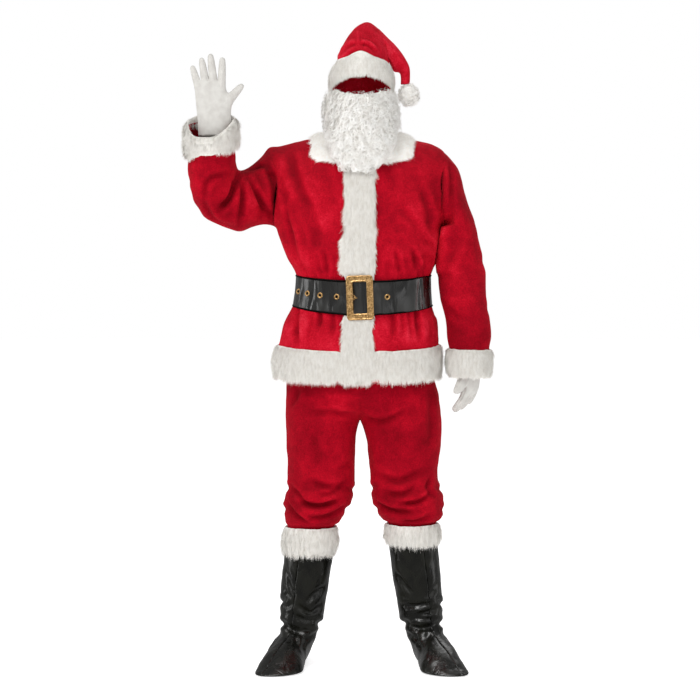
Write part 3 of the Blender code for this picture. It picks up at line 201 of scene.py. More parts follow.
def hair_finish(name, colours, gloss, glow, lock_size, lock_length):
    """A hair finish whose colour runs from root to tip, with locks of slightly different white, lock_length
    times as long as wide; glow stands for the light that passes through the hairs from behind."""
    material, tree, shader, place = new_finish(name, {
        "Roughness": gloss, "Specular IOR Level": 0.35, "Sheen Weight": 0.12, "Sheen Roughness": 0.5,
        "Emission Color": linear("FFFDF9"), "Emission Strength": glow})
    along = add(tree, "Attribute", attribute_name="tip", attribute_type="GEOMETRY").outputs["Fac"]
    drawn_out = add(tree, "Mapping", {"Scale": (1.0, 1.0, 1 / lock_length)}, {"Vector": place})
    lock = clouds(tree, drawn_out.outputs["Vector"], lock_size, 3.0, Roughness=0.7)
    strand = ramp(tree, along, list(zip((0.0, 0.45, 1.0), colours)))
    shade = ramp(tree, lock, [(0.34, "F0EEEB"), (0.60, "FFFFFF")])
    mixed = add(tree, "Mix", {0: 1.0}, {6: strand, 7: shade}, data_type="RGBA", blend_type="MULTIPLY")
    tree.links.new(mixed.outputs[2], shader.inputs["Base Color"])
    return material


fur = hair_finish("acrylic faux fur, white", ("D8D6D0", "EAE8E3", "F8F6F1"), 0.75, 0.03, 0.008, 2.5)
# A paler copy with a stronger glow: painted light that lifts the shade on the collars and the pompom.
glowing_fur = hair_finish("acrylic faux fur, white, loose", ("DEDDDA", "EEEDEA", "FAF9F7"), 0.75, 0.14, 0.008,
                        1.5)
curls = hair_finish("acrylic curled hair, white", ("D8D6D1", "EBE9E5", "FFFFFD"), 0.45, 0.055, 0.018, 1.0)

# %% [markdown]
# ## Black vinyl
# The belt and the boot covers are PVC vinyl on a knit backing: nearly black, glossy, with soft creases and
# a faint grain. Gloss comes from a low roughness that varies, so the highlights break up.

# %% Black vinyl


def vinyl_finish(name, dark, light, gloss, relief, specular, stretched=0.55, detail=3.0):
    """Black vinyl: gloss is its lowest and highest roughness, relief the depth of its creases in metres."""
    crease_size, grain_size = 0.034, 0.0022
    material, tree, shader, place = new_finish(name, {"Specular IOR Level": specular})
    stretch = add(tree, "Mapping", {"Scale": (1.0, 1.0, stretched)}, {"Vector": place})
    crease = clouds(tree, stretch.outputs["Vector"], crease_size, detail, Roughness=0.45, Distortion=0.8)
    grain = clouds(tree, place, grain_size, 2.0)
    rough = add(tree, "MapRange", {"From Min": 0.3, "From Max": 0.7, "To Min": gloss[0], "To Max": gloss[1]},
                {"Value": crease})
    tree.links.new(rough.outputs["Result"], shader.inputs["Roughness"])
    # Painted shade: the colour reads the same noise as the relief, a shade darker in its hollows and lighter
    # on its tops.
    dress(tree, shader, ramp(tree, crease, [(0.35, dark), (0.65, light)]),
          bump(tree, 0.70, relief, crease, over=bump(tree, 0.20, 0.0005, grain)))
    return material


vinyl = vinyl_finish("PVC vinyl, black, boots", "0C0C09", "15150F", (0.20, 0.34), 0.0050, 0.40)
belt_vinyl = vinyl_finish("PVC vinyl, black, belt", "090907", "171714", (0.20, 0.38), 0.0120, 0.90, 0.28, 1.5)
# The rolled edge's near-black, dull vinyl also fills each eyelet's hole as painted shade.
rolled_edge_and_hole_vinyl = vinyl_finish("PVC vinyl, black, rolled edge", "020202", "040403", (0.50, 0.65), 0.0010, 0.06)
print("vinyl ready")

# %% [markdown]
# ## Antique brass and white cotton
# The buckle is cast zinc with an antique brass plating, hammered all over and dark in its hollows. The
# gloves are a fine cotton jersey with ribs about 2 mm apart.

# %% Antique brass
dent_size, wear_size = 0.0034, 0.006
brass, tree, shader, place = new_finish("antique brass plating, hammered", {
    "Metallic": 0.70, "Roughness": 0.42})
dents = add(tree, "TexVoronoi", {"Scale": 1 / dent_size, "Randomness": 0.9}, {"Vector": place},
            feature="SMOOTH_F1").outputs["Distance"]
tarnish = blend(tree, 0.5, dents, clouds(tree, place, wear_size, 4.0, Roughness=0.7))
dress(tree, shader, ramp(tree, tarnish, [(0.20, "FFE2AE"), (0.38, "D2A86C"), (0.60, "7A5832")]),
      bump(tree, 0.8, 0.0012, dents))

# %% White cotton
half_rib, soil_size = 0.0011, 0.020
cotton, tree, shader, place = new_finish("cotton jersey, white", {
    "Roughness": 0.88, "Specular IOR Level": 0.2, "Sheen Weight": 0.2})
ribs = add(tree, "TexWave", {"Scale": 1 / (2 * math.pi * half_rib), "Distortion": 1.5, "Detail": 2.0},
           {"Vector": place}, wave_type="BANDS", bands_direction="X")
soil = clouds(tree, place, soil_size, 3.0)
dress(tree, shader, ramp(tree, soil, [(0.35, "C2BFBA"), (0.65, "CECCC7")]),
      bump(tree, 0.35, 0.0006, ribs.outputs["Fac"]))
print("finishes:", [m.name for m in (plush, fur, curls, vinyl, brass, cotton)])

# %% [markdown]
# ## Cloth from a solid
# A CAD cloth solid is a wall with an outer face, an inner face and a narrow rim between them. Drawing new
# cloth by hand would lose the fit, so the outer face itself is taken: the rim goes, and of what is left the
# larger side is the outside. Panels are then welded at their seams, so that a fold can run across one.

# %% Taking the outer face
SAME_PLACE = 1e-5           # metres: points of a CAD solid nearer than this are one
RIM_SHARE = 0.015           # an edge is as long as the wall to this share where the face belongs to the rim


def cad_form(name):
    """A CAD solid with the points of its corners merged."""
    form = bmesh.new()
    form.from_mesh(nodes[name].data)
    bmesh.ops.remove_doubles(form, verts=form.verts, dist=SAME_PLACE)
    return form


def mesh_from(form, title):
    """A mesh from a bmesh, which is let go."""
    mesh = bpy.data.meshes.new(title)
    form.to_mesh(mesh)
    form.free()
    return mesh


def outer_side(name, wall):
    """The outer face of a CAD cloth solid, as a bmesh of quads."""
    part = cad_form(name)
    rim = [f for f in part.faces if min(abs(e.calc_length() - wall) for e in f.edges) < RIM_SHARE * wall]
    bmesh.ops.delete(part, geom=rim, context="FACES")
    sides, left = [], set(part.faces)
    while left:
        todo, side = [left.pop()], []
        while todo:
            face = todo.pop()
            side.append(face)
            for other in [f for edge in face.edges for f in edge.link_faces]:
                if other in left:
                    left.discard(other)
                    todo.append(other)
        sides.append(side)
    sides.sort(key=lambda side: -sum(f.calc_area() for f in side))
    bmesh.ops.delete(part, geom=[f for side in sides[1:] for f in side], context="FACES")
    bmesh.ops.join_triangles(part, faces=part.faces, angle_face_threshold=math.pi,
                             angle_shape_threshold=math.pi)
    return part


def only(piece):
    """Selects one piece alone and makes it active."""
    bpy.ops.object.select_all(action="DESELECT")
    bpy.context.view_layer.objects.active = piece
    piece.select_set(True)


def modify(piece, kind, **settings):
    """Puts one modifier on a piece and applies it."""
    only(piece)
    modifier = piece.modifiers.new("change", kind)
    for name, value in settings.items():
        setattr(modifier, name, value)
    bpy.ops.object.modifier_apply(modifier="change")


def subdivide(piece, levels):
    """Subdivides and smooths a piece."""
    modify(piece, "SUBSURF", levels=levels, render_levels=levels)


def welded(names, wall, gap, levels, title):
    """Several panels welded where their edges lie within gap, subdivided; the material index is the panel."""
    whole = bmesh.new()
    for number, name in enumerate(names):
        part = outer_side(name, wall)
        for face in part.faces:
            face.material_index = number
            face.smooth = True
        mesh = mesh_from(part, "panel")
        whole.from_mesh(mesh)
        bpy.data.meshes.remove(mesh)
    bmesh.ops.remove_doubles(whole, verts=[v for v in whole.verts if v.is_boundary], dist=gap)
    mesh = mesh_from(whole, title)
    for name in names:
        mesh.materials.append(bpy.data.materials.new(name + "_slot"))
    piece = placed(title, mesh)
    subdivide(piece, levels)
    print(title, "from", len(names), "panels:", len(piece.data.polygons), "faces")
    return piece


def read_points(piece):
    """Points and point normals of a mesh as arrays."""
    found = np.empty((2, len(piece.data.vertices) * 3))
    piece.data.vertices.foreach_get("co", found[0])
    piece.data.vertices.foreach_get("normal", found[1])
    return found[0].reshape(-1, 3), found[1].reshape(-1, 3)


def write_points(piece, points):
    """Puts moved points back."""
    piece.data.vertices.foreach_set("co", points.ravel())
    piece.data.update()


def paint_fold_shade(piece, plain, normals, points, reach=0.013, paler=0.0):
    """Pressing in or raising, stored as painted fold shade: 0 dark in a crease, 1 pale on a ridge, plus
    paler.
    """
    height = np.sum((points - plain) * normals, axis=1)
    worn = np.clip(0.5 + 0.5 * height / reach + paler, 0, 1).astype(np.float32)
    piece.data.attributes.new("worn", "FLOAT", "POINT").data.foreach_set("value", worn)


# %% [markdown]
# ## Folds placed one by one
# A crease is a soft trough with a bulge on each side, higher on one. It could come from a cloth simulation,
# but then no fold would lie where the worn suit has it. So each is a row: three places on its path, its half
# width and its depth, all in millimetres. A place is given in the plane it is seen in, front and back as x
# and z, the sides as y and z; a depth below zero goes in.

# %% Pressing folds
FACING = {"front": ((0, 2), 1, -1), "back": ((0, 2), 1, 1), "outer_right": ((1, 2), 0, -1),
          "outer_left": ((1, 2), 0, 1)}    # axes of the plane, axis across it, and which way is out


def smoothstep(value, low, high):
    """0 below low, 1 above high, soft between."""
    t = np.clip((value - low) / (high - low), 0.0, 1.0)
    return t * t * (3 - 2 * t)


def between(value, start, full, full_end, end):
    """0 outside start and end, 1 from full to full_end, soft between."""
    return smoothstep(value, start, full) * (1 - smoothstep(value, full_end, end))


def bell(value, middle, width):
    """1 at the middle, falling off on both sides."""
    return np.exp(-((value - middle) / width) ** 2)


def curve_through(path, steps=28):
    """Points on a smooth curve through three or more places."""
    padded = np.vstack([2 * path[0] - path[1], path, 2 * path[-1] - path[-2]])
    places = []
    for i in range(1, len(padded) - 2):
        a, b, c, d = padded[i - 1:i + 3]
        for t in np.linspace(0, 1, steps // (len(path) - 1), endpoint=False):
            places.append(0.5 * (2 * b + (c - a) * t + (2 * a - 5 * b + 4 * c - d) * t * t
                                 + (3 * b - a - 3 * c + d) * t ** 3))
    return np.array(places + [path[-1]])


def press_folds(points, normals, folds, inside=None, gain=1.0, proud=0.006):
    """Moves the points along their normals by the folds that face them, outwards no more than proud."""
    shift = np.zeros(len(points))
    for facing, row in [(facing, row) for facing, rows in folds.items() for row in rows]:
        axes, across, sign = FACING[facing]
        *path, half_width, depth = np.array(row) / 1000
        curve = curve_through(np.reshape(path, (-1, 2)))
        flat = points[:, axes]
        reach = 3.2 * half_width
        near = np.all((flat > curve.min(0) - reach) & (flat < curve.max(0) + reach), axis=1)
        near &= sign * normals[:, across] > 0.05
        if inside is not None:
            near &= inside
        index = np.nonzero(near)[0]
        if not len(index):
            continue
        gap = np.linalg.norm(flat[index, None, :] - curve[None], axis=2)
        nearest = gap.argmin(1)
        distance = gap.min(1) / half_width
        way = np.gradient(curve, axis=0)[nearest]
        off = flat[index] - curve[nearest]
        side = np.sign(way[:, 0] * off[:, 1] - way[:, 1] * off[:, 0])
        taper = between(nearest / (len(curve) - 1), -0.12, 0.22, 0.66, 1.10)
        profile = bell(distance, 0, 0.72) - (0.42 + 0.22 * side) * bell(distance, 1.45, 0.62)
        facing_share = smoothstep(sign * normals[index, across], 0.28, 0.80)
        shift[index] += gain * depth * profile * taper * facing_share
    shift = np.where(shift > 0, proud * np.tanh(shift / proud), shift)
    return points + normals * shift[:, None]


def rumple(points, normals, sizes, seed):
    """Soft unevenness: pairs of wavelength and height in metres."""
    origin = Vector((seed, seed * 2.3, seed * 5.1))
    shift = np.zeros(len(points))
    for size, height in sizes:
        shift += height * np.array([noise.noise(Vector(p) / size + origin) for p in points])
    return points + normals * shift[:, None]


def relax(piece, points, share, rounds):
    """Draws points towards the middle of their neighbours, each by its share."""
    ends = np.empty(len(piece.data.edges) * 2, int)
    piece.data.edges.foreach_get("vertices", ends)
    one, two = ends.reshape(-1, 2).T
    count = np.bincount(ends, minlength=len(points))[:, None]
    for _ in range(rounds):
        total = np.zeros_like(points)
        np.add.at(total, one, points[two])
        np.add.at(total, two, points[one])
        points = points + 0.5 * share[:, None] * (total / count - points)
    return points


def panels_at(piece):
    """For each point of a welded cloth, the numbers of the panels that meet there."""
    owners = [set() for _ in piece.data.vertices]
    for polygon in piece.data.polygons:
        for vertex in polygon.vertices:
            owners[vertex].add(polygon.material_index)
    return owners


def seam_places(piece):
    """Where panels meet: a search tree over the seam's points."""
    seam = [i for i, owners in enumerate(panels_at(piece)) if len(owners) > 1]
    tree = KDTree(len(seam))
    for i in seam:
        tree.insert(piece.data.vertices[i].co, i)
    tree.balance()
    return tree


def sew(points, normals, seams, depth=0.0010, width=0.005, stitch=0.012):
    """Pulls the cloth in along its seams, with small puckers."""
    shift = np.zeros(len(points))
    for i, p in enumerate(points):
        place, _, distance = seams.find(p)
        if distance is not None and distance < 3 * width:
            wave = 2 * math.pi * (place.z + 0.4 * place.x) / stitch + 3 * noise.noise(place * 40)
            shift[i] = -depth * (1 + 0.45 * math.sin(wave)) * math.exp(-(distance / width) ** 2)
    return points + normals * shift[:, None]


def triangles(piece):
    """How many triangles a piece has."""
    return sum(len(p.vertices) - 2 for p in piece.data.polygons)


def panels(piece, wall, keep, finish=plush):
    """Thins the welded cloth away from its seams, cuts it into its named panels and gives each its wall."""
    away = piece.vertex_groups.new(name="away_from_seams")
    away.add([i for i, owners in enumerate(panels_at(piece)) if len(owners) == 1], 1.0, "REPLACE")
    if keep < 1.0:
        modify(piece, "DECIMATE", ratio=keep, vertex_group=away.name)
    only(piece)
    bpy.ops.object.mode_set(mode="EDIT")
    bpy.ops.mesh.select_all(action="SELECT")
    bpy.ops.mesh.separate(type="MATERIAL")
    bpy.ops.object.mode_set(mode="OBJECT")
    found = {}
    for part in list(bpy.context.selected_objects):
        name = part.data.materials[part.data.polygons[0].material_index].name.removesuffix("_slot")
        part.name = name + "_cloth"
        part.data.materials.clear()
        part.data.materials.append(finish)
        for polygon in part.data.polygons:
            polygon.material_index = 0
        part.vertex_groups.clear()
        modify(part, "SOLIDIFY", thickness=wall, offset=-1)
        part.data.shade_smooth()
        found[name] = part
        print(name, triangles(part), "triangles")
    return found


# %% [markdown]
# ## Jacket and sleeves
# The jacket is cut as two fronts, a back and two set-in sleeves, each one panel. The belt draws it in, so
# gathers stand above and below the belt. The raised sleeve folds out from the crook of its elbow; the
# hanging one has a few long soft hollows. Similar folds lie on the back.

# %% Jacket folds, in millimetres
jacket_folds = {
    "front": [
        (-199, -37, -176, -127, -134, -222, 17, -9), (-134, -222, -120, -267, -117, -312, 14, -5),
        (-230, -46, -207, -124, -171, -200, 14, 4), (-171, -217, -151, -267, -137, -323, 11, 4),
        (-216, -212, -194, -290, -177, -357, 14, -9), (-228, -150, -213, -240, -190, -330, 9, 5),
        (60, -60, 85, -115, 80, -180, 18, -3), (176, -290, 196, -300, 210, -330, 9, -6),
        (150, -345, 185, -335, 210, -350, 9, -4), (106, -189, 143, -239, 179, -289, 14, -4),
        (168, -144, 193, -211, 202, -290, 14, -7), (123, -236, 165, -264, 199, -256, 14, 3),
        (67, -278, 106, -300, 157, -298, 17, -3), (-101, -88, -84, -155, -76, -217, 20, -3),
        (-171, -475, -180, -526, -177, -579, 10, -13), (-120, -472, -112, -505, -118, -542, 9, -10),
        (-78, -479, -76, -519, -81, -563, 10, -7), (157, -475, 162, -519, 168, -578, 10, -11),
        (182, -480, 188, -519, 190, -564, 9, 6), (208, -475, 219, -520, 224, -571, 10, -11),
        (90, -482, 95, -519, 90, -563, 10, -9), (-151, -318, -146, -351, -134, -379, 9, 6),
        (-204, -480, -216, -520, -226, -560, 10, -8), (-150, -482, -150, -515, -158, -560, 8, 6),
        (124, -480, 130, -520, 136, -575, 8, 6), (186, -350, 180, -370, 178, -388, 8, -8),
        (-101, -323, -95, -356, -92, -387, 9, -9), (101, -323, 106, -356, 112, -387, 9, -9),
        (146, -318, 157, -351, 162, -388, 9, -10),
    ],
    "back": [
        (-190, -70, -160, -160, -120, -260, 18, -8), (185, -90, 150, -190, 128, -290, 17, -7),
        (-60, -110, -20, -150, 50, -120, 20, -4), (-100, -300, -92, -340, -96, -380, 11, -6),
        (-30, -290, -22, -335, -28, -382, 12, -7), (60, -300, 68, -345, 60, -384, 10, -5),
        (130, -310, 138, -350, 134, -386, 11, -6), (-140, -485, -150, -530, -146, -585, 11, -8),
        (-70, -480, -66, -520, -72, -562, 11, -6), (10, -482, 6, -530, 14, -580, 12, -7),
        (90, -482, 98, -525, 96, -572, 11, -7), (160, -480, 172, -530, 170, -578, 11, -8),
    ],
}
sleeve_folds = {
    "front": [
        (-340, -98, -360, -170, -392, -207, 11, -11), (-335, -106, -324, -173, -340, -262, 11, -10),
        (-325, -101, -283, -173, -248, -229, 11, -11), (-260, -74, -236, -149, -243, -236, 13, -13),
        (-324, -96, -289, -83, -262, -82, 10, -9), (-344, -95, -419, -126, -432, -190, 11, -6),
        (-432, -190, -405, -237, -347, -262, 11, -6), (-360, -123, -377, -159, -399, -173, 17, 5),
        (-311, -115, -300, -176, -306, -237, 17, 6), (272, -287, 249, -352, 229, -417, 17, -8),
        (232, -471, 269, -505, 308, -510, 13, -6), (249, -451, 283, -462, 323, -451, 17, 3),
        (241, -44, 243, -123, 236, -199, 10, 4), (250, -70, 256, -130, 255, -200, 9, -8),
        (217, -60, 225, -136, 220, -224, 13, -9), (289, -355, 311, -406, 323, -462, 17, -3),
    ],
    "back": [
        (-335, -110, -365, -165, -405, -190, 13, -8), (-330, -115, -320, -180, -335, -245, 13, -8),
        (-300, -100, -270, -160, -245, -215, 13, -8), (262, -90, 256, -160, 244, -230, 14, -7),
        (300, -280, 270, -350, 240, -390, 17, -7), (250, -440, 290, -470, 335, -455, 14, -6),
        (262, -500, 300, -520, 340, -512, 13, -5),
    ],
    "outer_left": [
        (-50, -330, 0, -360, 50, -350, 16, -3), (-60, -470, -10, -492, 30, -480, 14, -3),
        (0, -110, 10, -180, 5, -250, 18, -4),
    ],
    "outer_right": [
        (-170, -180, -120, -205, -60, -200, 15, -1.5), (-190, -100, -150, -125, -100, -110, 14, -1.5),
    ],
}
print("folds:", [sum(map(len, folds.values())) for folds in (jacket_folds, sleeve_folds)])

# %% Jacket cloth
CAD_PLUSH_WALL, PLUSH_WALL = 0.003, 0.0024        # metres: the solids' wall, and the finished cloth's
jacket = welded(["jacket_front_left", "jacket_front_right", "jacket_back", "sleeve_left", "sleeve_right"],
                CAD_PLUSH_WALL, gap=0.0018, levels=3, title="jacket")
points, normals = read_points(jacket)
seams = seam_places(jacket)
owner = np.zeros(len(points), int)
for polygon in jacket.data.polygons:
    owner[list(polygon.vertices)] = polygon.material_index
on_sleeve, hanging, raised = owner >= 3, owner == 3, owner == 4

# The hanging sleeve's inner half is full enough to rest against the body below the armhole.
height = points[:, 2]
levels = np.array([-0.40, -0.38, -0.36, -0.33, -0.31, -0.29, -0.27, -0.25])
inner_edge = np.interp(height, levels, [0.221, 0.222, 0.224, 0.229, 0.238, 0.246, 0.252, 0.252])
border = np.interp(height, levels, [0.221, 0.2175, 0.2160, 0.2190, 0.2225, 0.2265, 0.2305, 0.2320])
sleeve_middle = 0.285
touch = between(height, -0.405, -0.395, -0.255, -0.245)
t = np.clip((points[:, 0] - border) / (sleeve_middle - border), 0, 1)
start = (inner_edge - border) / (sleeve_middle - border)
full = border + (sleeve_middle - border) * np.clip((t - start) / (1 - start), 0, 1)
points[:, 0] += touch * hanging * (points[:, 0] < sleeve_middle) * (full - points[:, 0])
outer = between(height, -0.47, -0.38, -0.24, -0.15) * hanging * smoothstep(normals[:, 0], 0.0, 0.7)
points[:, 0] += outer * 0.010
# A puff stands at the raised shoulder, 11 mm high.
puff = bell(points[:, 0], -0.252, 0.018) * smoothstep(normals[:, 2], 0.0, 0.6) * (height > -0.10)
points += normals * (0.011 * puff)[:, None]
# The raised sleeve ends inside its fur, 24 mm down, and its elbow stands 6 mm out.
points[:, 2] -= raised * smoothstep(height, height[raised].max() - 0.050, height[raised].max()) * 0.024
elbow = bell(points[:, 0], -0.338, 0.022) * smoothstep(-normals[:, 2], 0.1, 0.7) * (height < -0.22)
points += normals * (0.006 * elbow * raised)[:, None]


def front_drop(points):
    """How far the raised cuff's front lip hangs below its back, in metres."""
    front = smoothstep(-(points[:, 1] + 0.180), 0.0, 0.05)
    along = between(points[:, 0], -0.485, -0.450, -0.405, -0.345)
    return 0.026 * front * along * smoothstep(points[:, 2], -0.045, 0.035)


points[:, 2] -= raised * front_drop(points) * 1.50
shaped = points.copy()
points = press_folds(points, normals, jacket_folds, ~on_sleeve, gain=0.95)
points = press_folds(points, normals, sleeve_folds, raised, gain=1.35, proud=0.0035)
points = press_folds(points, normals, sleeve_folds, hanging, gain=0.60)


def gather(points, normals, low, high, waves, depth, seed):
    """Fine uneven gathers round the waist that fade away from the belt."""
    angle, z = np.arctan2(points[:, 1], points[:, 0]), points[:, 2]
    turn = np.stack([np.cos(angle), np.sin(angle)], axis=1) * waves / 6.3
    wave = np.array([noise.noise(Vector((a * 2.1, b * 2.1, c * 3 + seed))) for (a, b), c in zip(turn, z)])
    above = between(z, high - 0.012, high + 0.004, high, high + 0.085)
    below = between(-z, -low - 0.012, -low + 0.004, -low, -low + 0.08)
    return points + normals * (wave * depth * (above + below))[:, None]


on_body = gather(points, normals, low=-0.479, high=-0.391, waves=44, depth=0.0080, seed=3.0)
points = np.where(on_sleeve[:, None], points, on_body)
points = rumple(points, normals, [(0.085, 0.0040), (0.030, 0.0014)], seed=11.0)
points = sew(points, normals, seams)


def edge_of(chosen, highest):
    """The chosen points' outermost x at each point's height."""
    bins = np.arange(-0.410, -0.236, 0.006)
    found = []
    for at in bins:
        x = points[chosen & (np.abs(points[:, 2] - at) < 0.006) & (np.abs(points[:, 1]) < 0.09), 0]
        found.append(x.max() if highest else x.min())
    return np.interp(points[:, 2], bins, found)


# The two walls meet on a plane that slants, so that no light shows between them from the front.
beside = between(points[:, 2], -0.390, -0.375, -0.256, -0.246)
slant = 0.0050 * smoothstep(-points[:, 1], 0.010, 0.045)
side, inside_edge = edge_of(~on_sleeve, True), edge_of(hanging, False)
near_side = smoothstep(points[:, 0], 0.160, 0.205) * (np.abs(points[:, 1]) < 0.10)
points[:, 0] += beside * ~on_sleeve * near_side * (border + 0.0010 - side)
inner_half = 1 - smoothstep(points[:, 0], 0.235, 0.290)
points[:, 0] -= beside * hanging * inner_half * (inside_edge - border + 0.009)
body_limit, sleeve_limit = border - slant - 0.0003, border - slant + 0.0003
points[:, 0] -= beside * ~on_sleeve * np.maximum(points[:, 0] - body_limit, 0)
points[:, 0] += beside * hanging * np.maximum(sleeve_limit - points[:, 0], 0)
# Under the belt nothing stands out.
moved = np.sum((points - shaped) * normals, axis=1)
girt = between(shaped[:, 2], -0.520, -0.500, -0.372, -0.352) * ~on_sleeve
points = points - normals * (np.maximum(moved, 0) * girt)[:, None]
# Painted tone per cloth: the sleeves are painted a little darker, the body paler, palest below the belt.
paler = np.where(on_sleeve, -0.10, 0.05 + 0.17 * smoothstep(-shaped[:, 2], 0.46, 0.50))
paint_fold_shade(jacket, shaped, normals, points, paler=paler)
write_points(jacket, points)
jacket_cloth = panels(jacket, PLUSH_WALL, keep=0.62)

# %% [markdown]
# ## Trousers
# Two legs joined in a seam that runs through the crotch. They are tucked into the boot covers, so their
# spare length falls in deep level creases over the knee and shin. A gathered casing holds the waist.

# %% Trouser folds, in millimetres
trouser_folds = {
    "front": [
        (-135, -773, -62, -775, -1, -789, 11, -6), (6, -789, 62, -799, 150, -759, 11, -7),
        (-166, -1031, -113, -1039, -56, -1022, 10, -13), (-146, -966, -89, -986, -45, -975, 11, -7),
        (-115, -1008, -76, -1003, -31, -969, 10, -8), (-141, -1073, -89, -1067, -25, -1034, 10, -9),
        (-206, -987, -175, -1007, -147, -1041, 8, -9), (-215, -1024, -186, -1064, -138, -1095, 8, -8),
        (31, -1028, 84, -1053, 166, -1056, 10, -11), (121, -1035, 166, -1027, 205, -1003, 10, -11),
        (70, -1003, 123, -1003, 160, -983, 11, -8), (51, -951, 107, -969, 194, -935, 13, -7),
        (118, -1090, 157, -1087, 203, -1065, 10, -9), (198, -963, 190, -992, 215, -1020, 8, -8),
        (-11, -895, -35, -928, -67, -945, 14, -5), (17, -897, 31, -937, 59, -965, 14, -5),
        (-169, -1006, -118, -1014, -62, -1006, 17, 5), (-169, -1056, -113, -1056, -51, -1048, 14, 4),
        (56, -986, 113, -986, 183, -966, 17, 4), (198, -720, 203, -800, 196, -880, 12, -5),
        (-173, -705, -186, -740, -208, -775, 12, -5), (-120, -820, -128, -870, -120, -930, 20, -3),
    ],
    "back": [
        (-150, -790, -80, -815, -6, -800, 13, -7), (10, -802, 80, -822, 160, -790, 13, -7),
        (-170, -985, -110, -1000, -50, -975, 12, -9), (-180, -1045, -120, -1050, -60, -1030, 10, -10),
        (60, -970, 120, -990, 190, -965, 12, -9), (50, -1035, 120, -1045, 190, -1025, 10, -10),
        (80, -1085, 140, -1090, 200, -1070, 10, -8), (-60, -880, -110, -930, -160, -940, 15, -5),
    ],
    "outer_left": [
        (-60, -990, 0, -1005, 60, -990, 11, -4), (-50, -1050, 5, -1062, 55, -1045, 11, -4),
    ],
    "outer_right": [
        (-60, -980, 0, -1000, 60, -985, 11, -4), (-50, -1050, 5, -1060, 55, -1045, 11, -4),
    ],
}

# %% Trouser cloth
trousers = welded(["trouser_leg_left", "trouser_leg_right"], CAD_PLUSH_WALL, gap=0.0016, levels=3,
                  title="trousers")
points, normals = read_points(trousers)
# The inner side of the knees is evened out before it is folded.
between_legs = smoothstep(-np.sign(points[:, 0] - 0.004) * normals[:, 0], 0.05, 0.45)
knees = between_legs * between(points[:, 2], -1.080, -1.055, -0.950, -0.900)
write_points(trousers, relax(trousers, points, knees, rounds=16))
plain, normals = read_points(trousers)
clear = smoothstep(plain[:, 2], -1.105, -1.085)[:, None]
folded = press_folds(plain, normals, trouser_folds, gain=1.05, proud=0.0045)
folded = rumple(folded, normals, [(0.080, 0.0045), (0.028, 0.0015)], seed=23.0)
points = sew(plain + (folded - plain) * clear, normals, seam_places(trousers))
# The trousers' painted fold shade sits a little darker all over.
paint_fold_shade(trousers, plain, normals, points, paler=-0.13)
write_points(trousers, points)
trouser_cloth = panels(trousers, PLUSH_WALL, keep=0.55)

# %% Trouser waist casing
casing = welded(["trouser_waistband"], wall=0.005, gap=0.0001, levels=2, title="casing")
plain, normals = read_points(casing)
angle = np.arctan2(plain[:, 1], plain[:, 0])
points = plain - normals * (0.0006 * (1 + np.sin(angle * 70 + 3 * np.sin(angle * 5))))[:, None]
paint_fold_shade(casing, plain, normals, points)
write_points(casing, points)
casing_cloth = panels(casing, PLUSH_WALL, keep=1.0)

# %% [markdown]
# ## Hat
# The hat is a cone cut in two halves, sewn from the middle of the forehead over the top and down the tail.
# Above the fur band it buckles into short arcs; its tail hangs to the wearer's left.

# %% Hat cloth
hat_folds = {
    "front": [
        (-56, 244, -34, 264, -8, 270, 6, 5), (-59, 227, -34, 250, -10, 258, 6, -8),
        (-51, 210, -28, 230, -8, 244, 6, -5), (-1, 268, 25, 262, 48, 244, 6, 5),
        (0, 256, 22, 254, 45, 236, 6, -8), (65, 267, 76, 231, 85, 199, 8, -6),
        (17, 312, 45, 284, 65, 253, 9, 3), (-10, 318, -6, 285, -6, 246, 4.5, 5),
    ],
    "back": [
        (-50, 225, -20, 245, 20, 240, 10, -5), (0, 270, 30, 275, 60, 255, 10, -5),
        (-60, 190, -20, 205, 30, 200, 11, -4),
    ],
    "outer_right": [
        (-50, 200, 0, 215, 50, 205, 11, -4),
    ],
}
hat = welded(["hat_crown_left", "hat_crown_right"], CAD_PLUSH_WALL, gap=0.0017, levels=3, title="hat")
plain, normals = read_points(hat)
tail = smoothstep(plain[:, 0], 0.070, 0.095)[:, None]
folded = press_folds(plain, normals, hat_folds, gain=0.65)
folded = rumple(folded, normals, [(0.050, 0.0030), (0.020, 0.0014)], seed=31.0)
# The tail's root hangs 27 mm lower on its under side.
root = between(plain[:, 0], 0.070, 0.080, 0.092, 0.128)
under = smoothstep(-normals[:, 2] - 0.6 * normals[:, 0], 0.0, 0.5) * (plain[:, 2] > 0.17)
for cloth in (plain, folded):
    cloth[:, 2] -= root * under * 0.027
on_tail = rumple(plain, normals, [(0.030, 0.0014)], seed=37.0) + normals * 0.0026
points = folded * (1 - tail) + on_tail * tail
points = sew(points, normals, seam_places(hat), depth=-0.0010, width=0.0035, stitch=0.009)
# The hat's painted fold shade is paler all over, over a shorter reach.
paint_fold_shade(hat, plain, normals, points, reach=0.008, paler=0.24)
write_points(hat, points)
hat_cloth = panels(hat, wall=0.0022, keep=0.7)

# %% [markdown]
# ## Fur
# A particle system would need baking and its hairs would be far too many. Instead each trim gets a soft
# body from its own CAD solid, and tens of thousands of short tapered blades over it. A blade is one
# triangle: it stands off its root along the pile, which hangs down, and neighbours lean alike, so that
# the pile parts into small locks.

# %% Bodies for the fur


def unit(vectors):
    """Vectors brought to length 1."""
    return vectors / np.maximum(np.linalg.norm(vectors, axis=-1, keepdims=True), 1e-9)


def soft_body(name, title, levels, finish):
    """A merged, subdivided copy of a CAD solid."""
    part = cad_form(name)
    bmesh.ops.join_triangles(part, faces=part.faces, angle_face_threshold=math.radians(50),
                             angle_shape_threshold=math.radians(70))
    mesh = mesh_from(part, title)
    mesh.materials.append(finish)
    piece = placed(title, mesh)
    if levels:
        subdivide(piece, levels)
    piece.data.shade_smooth()
    return piece


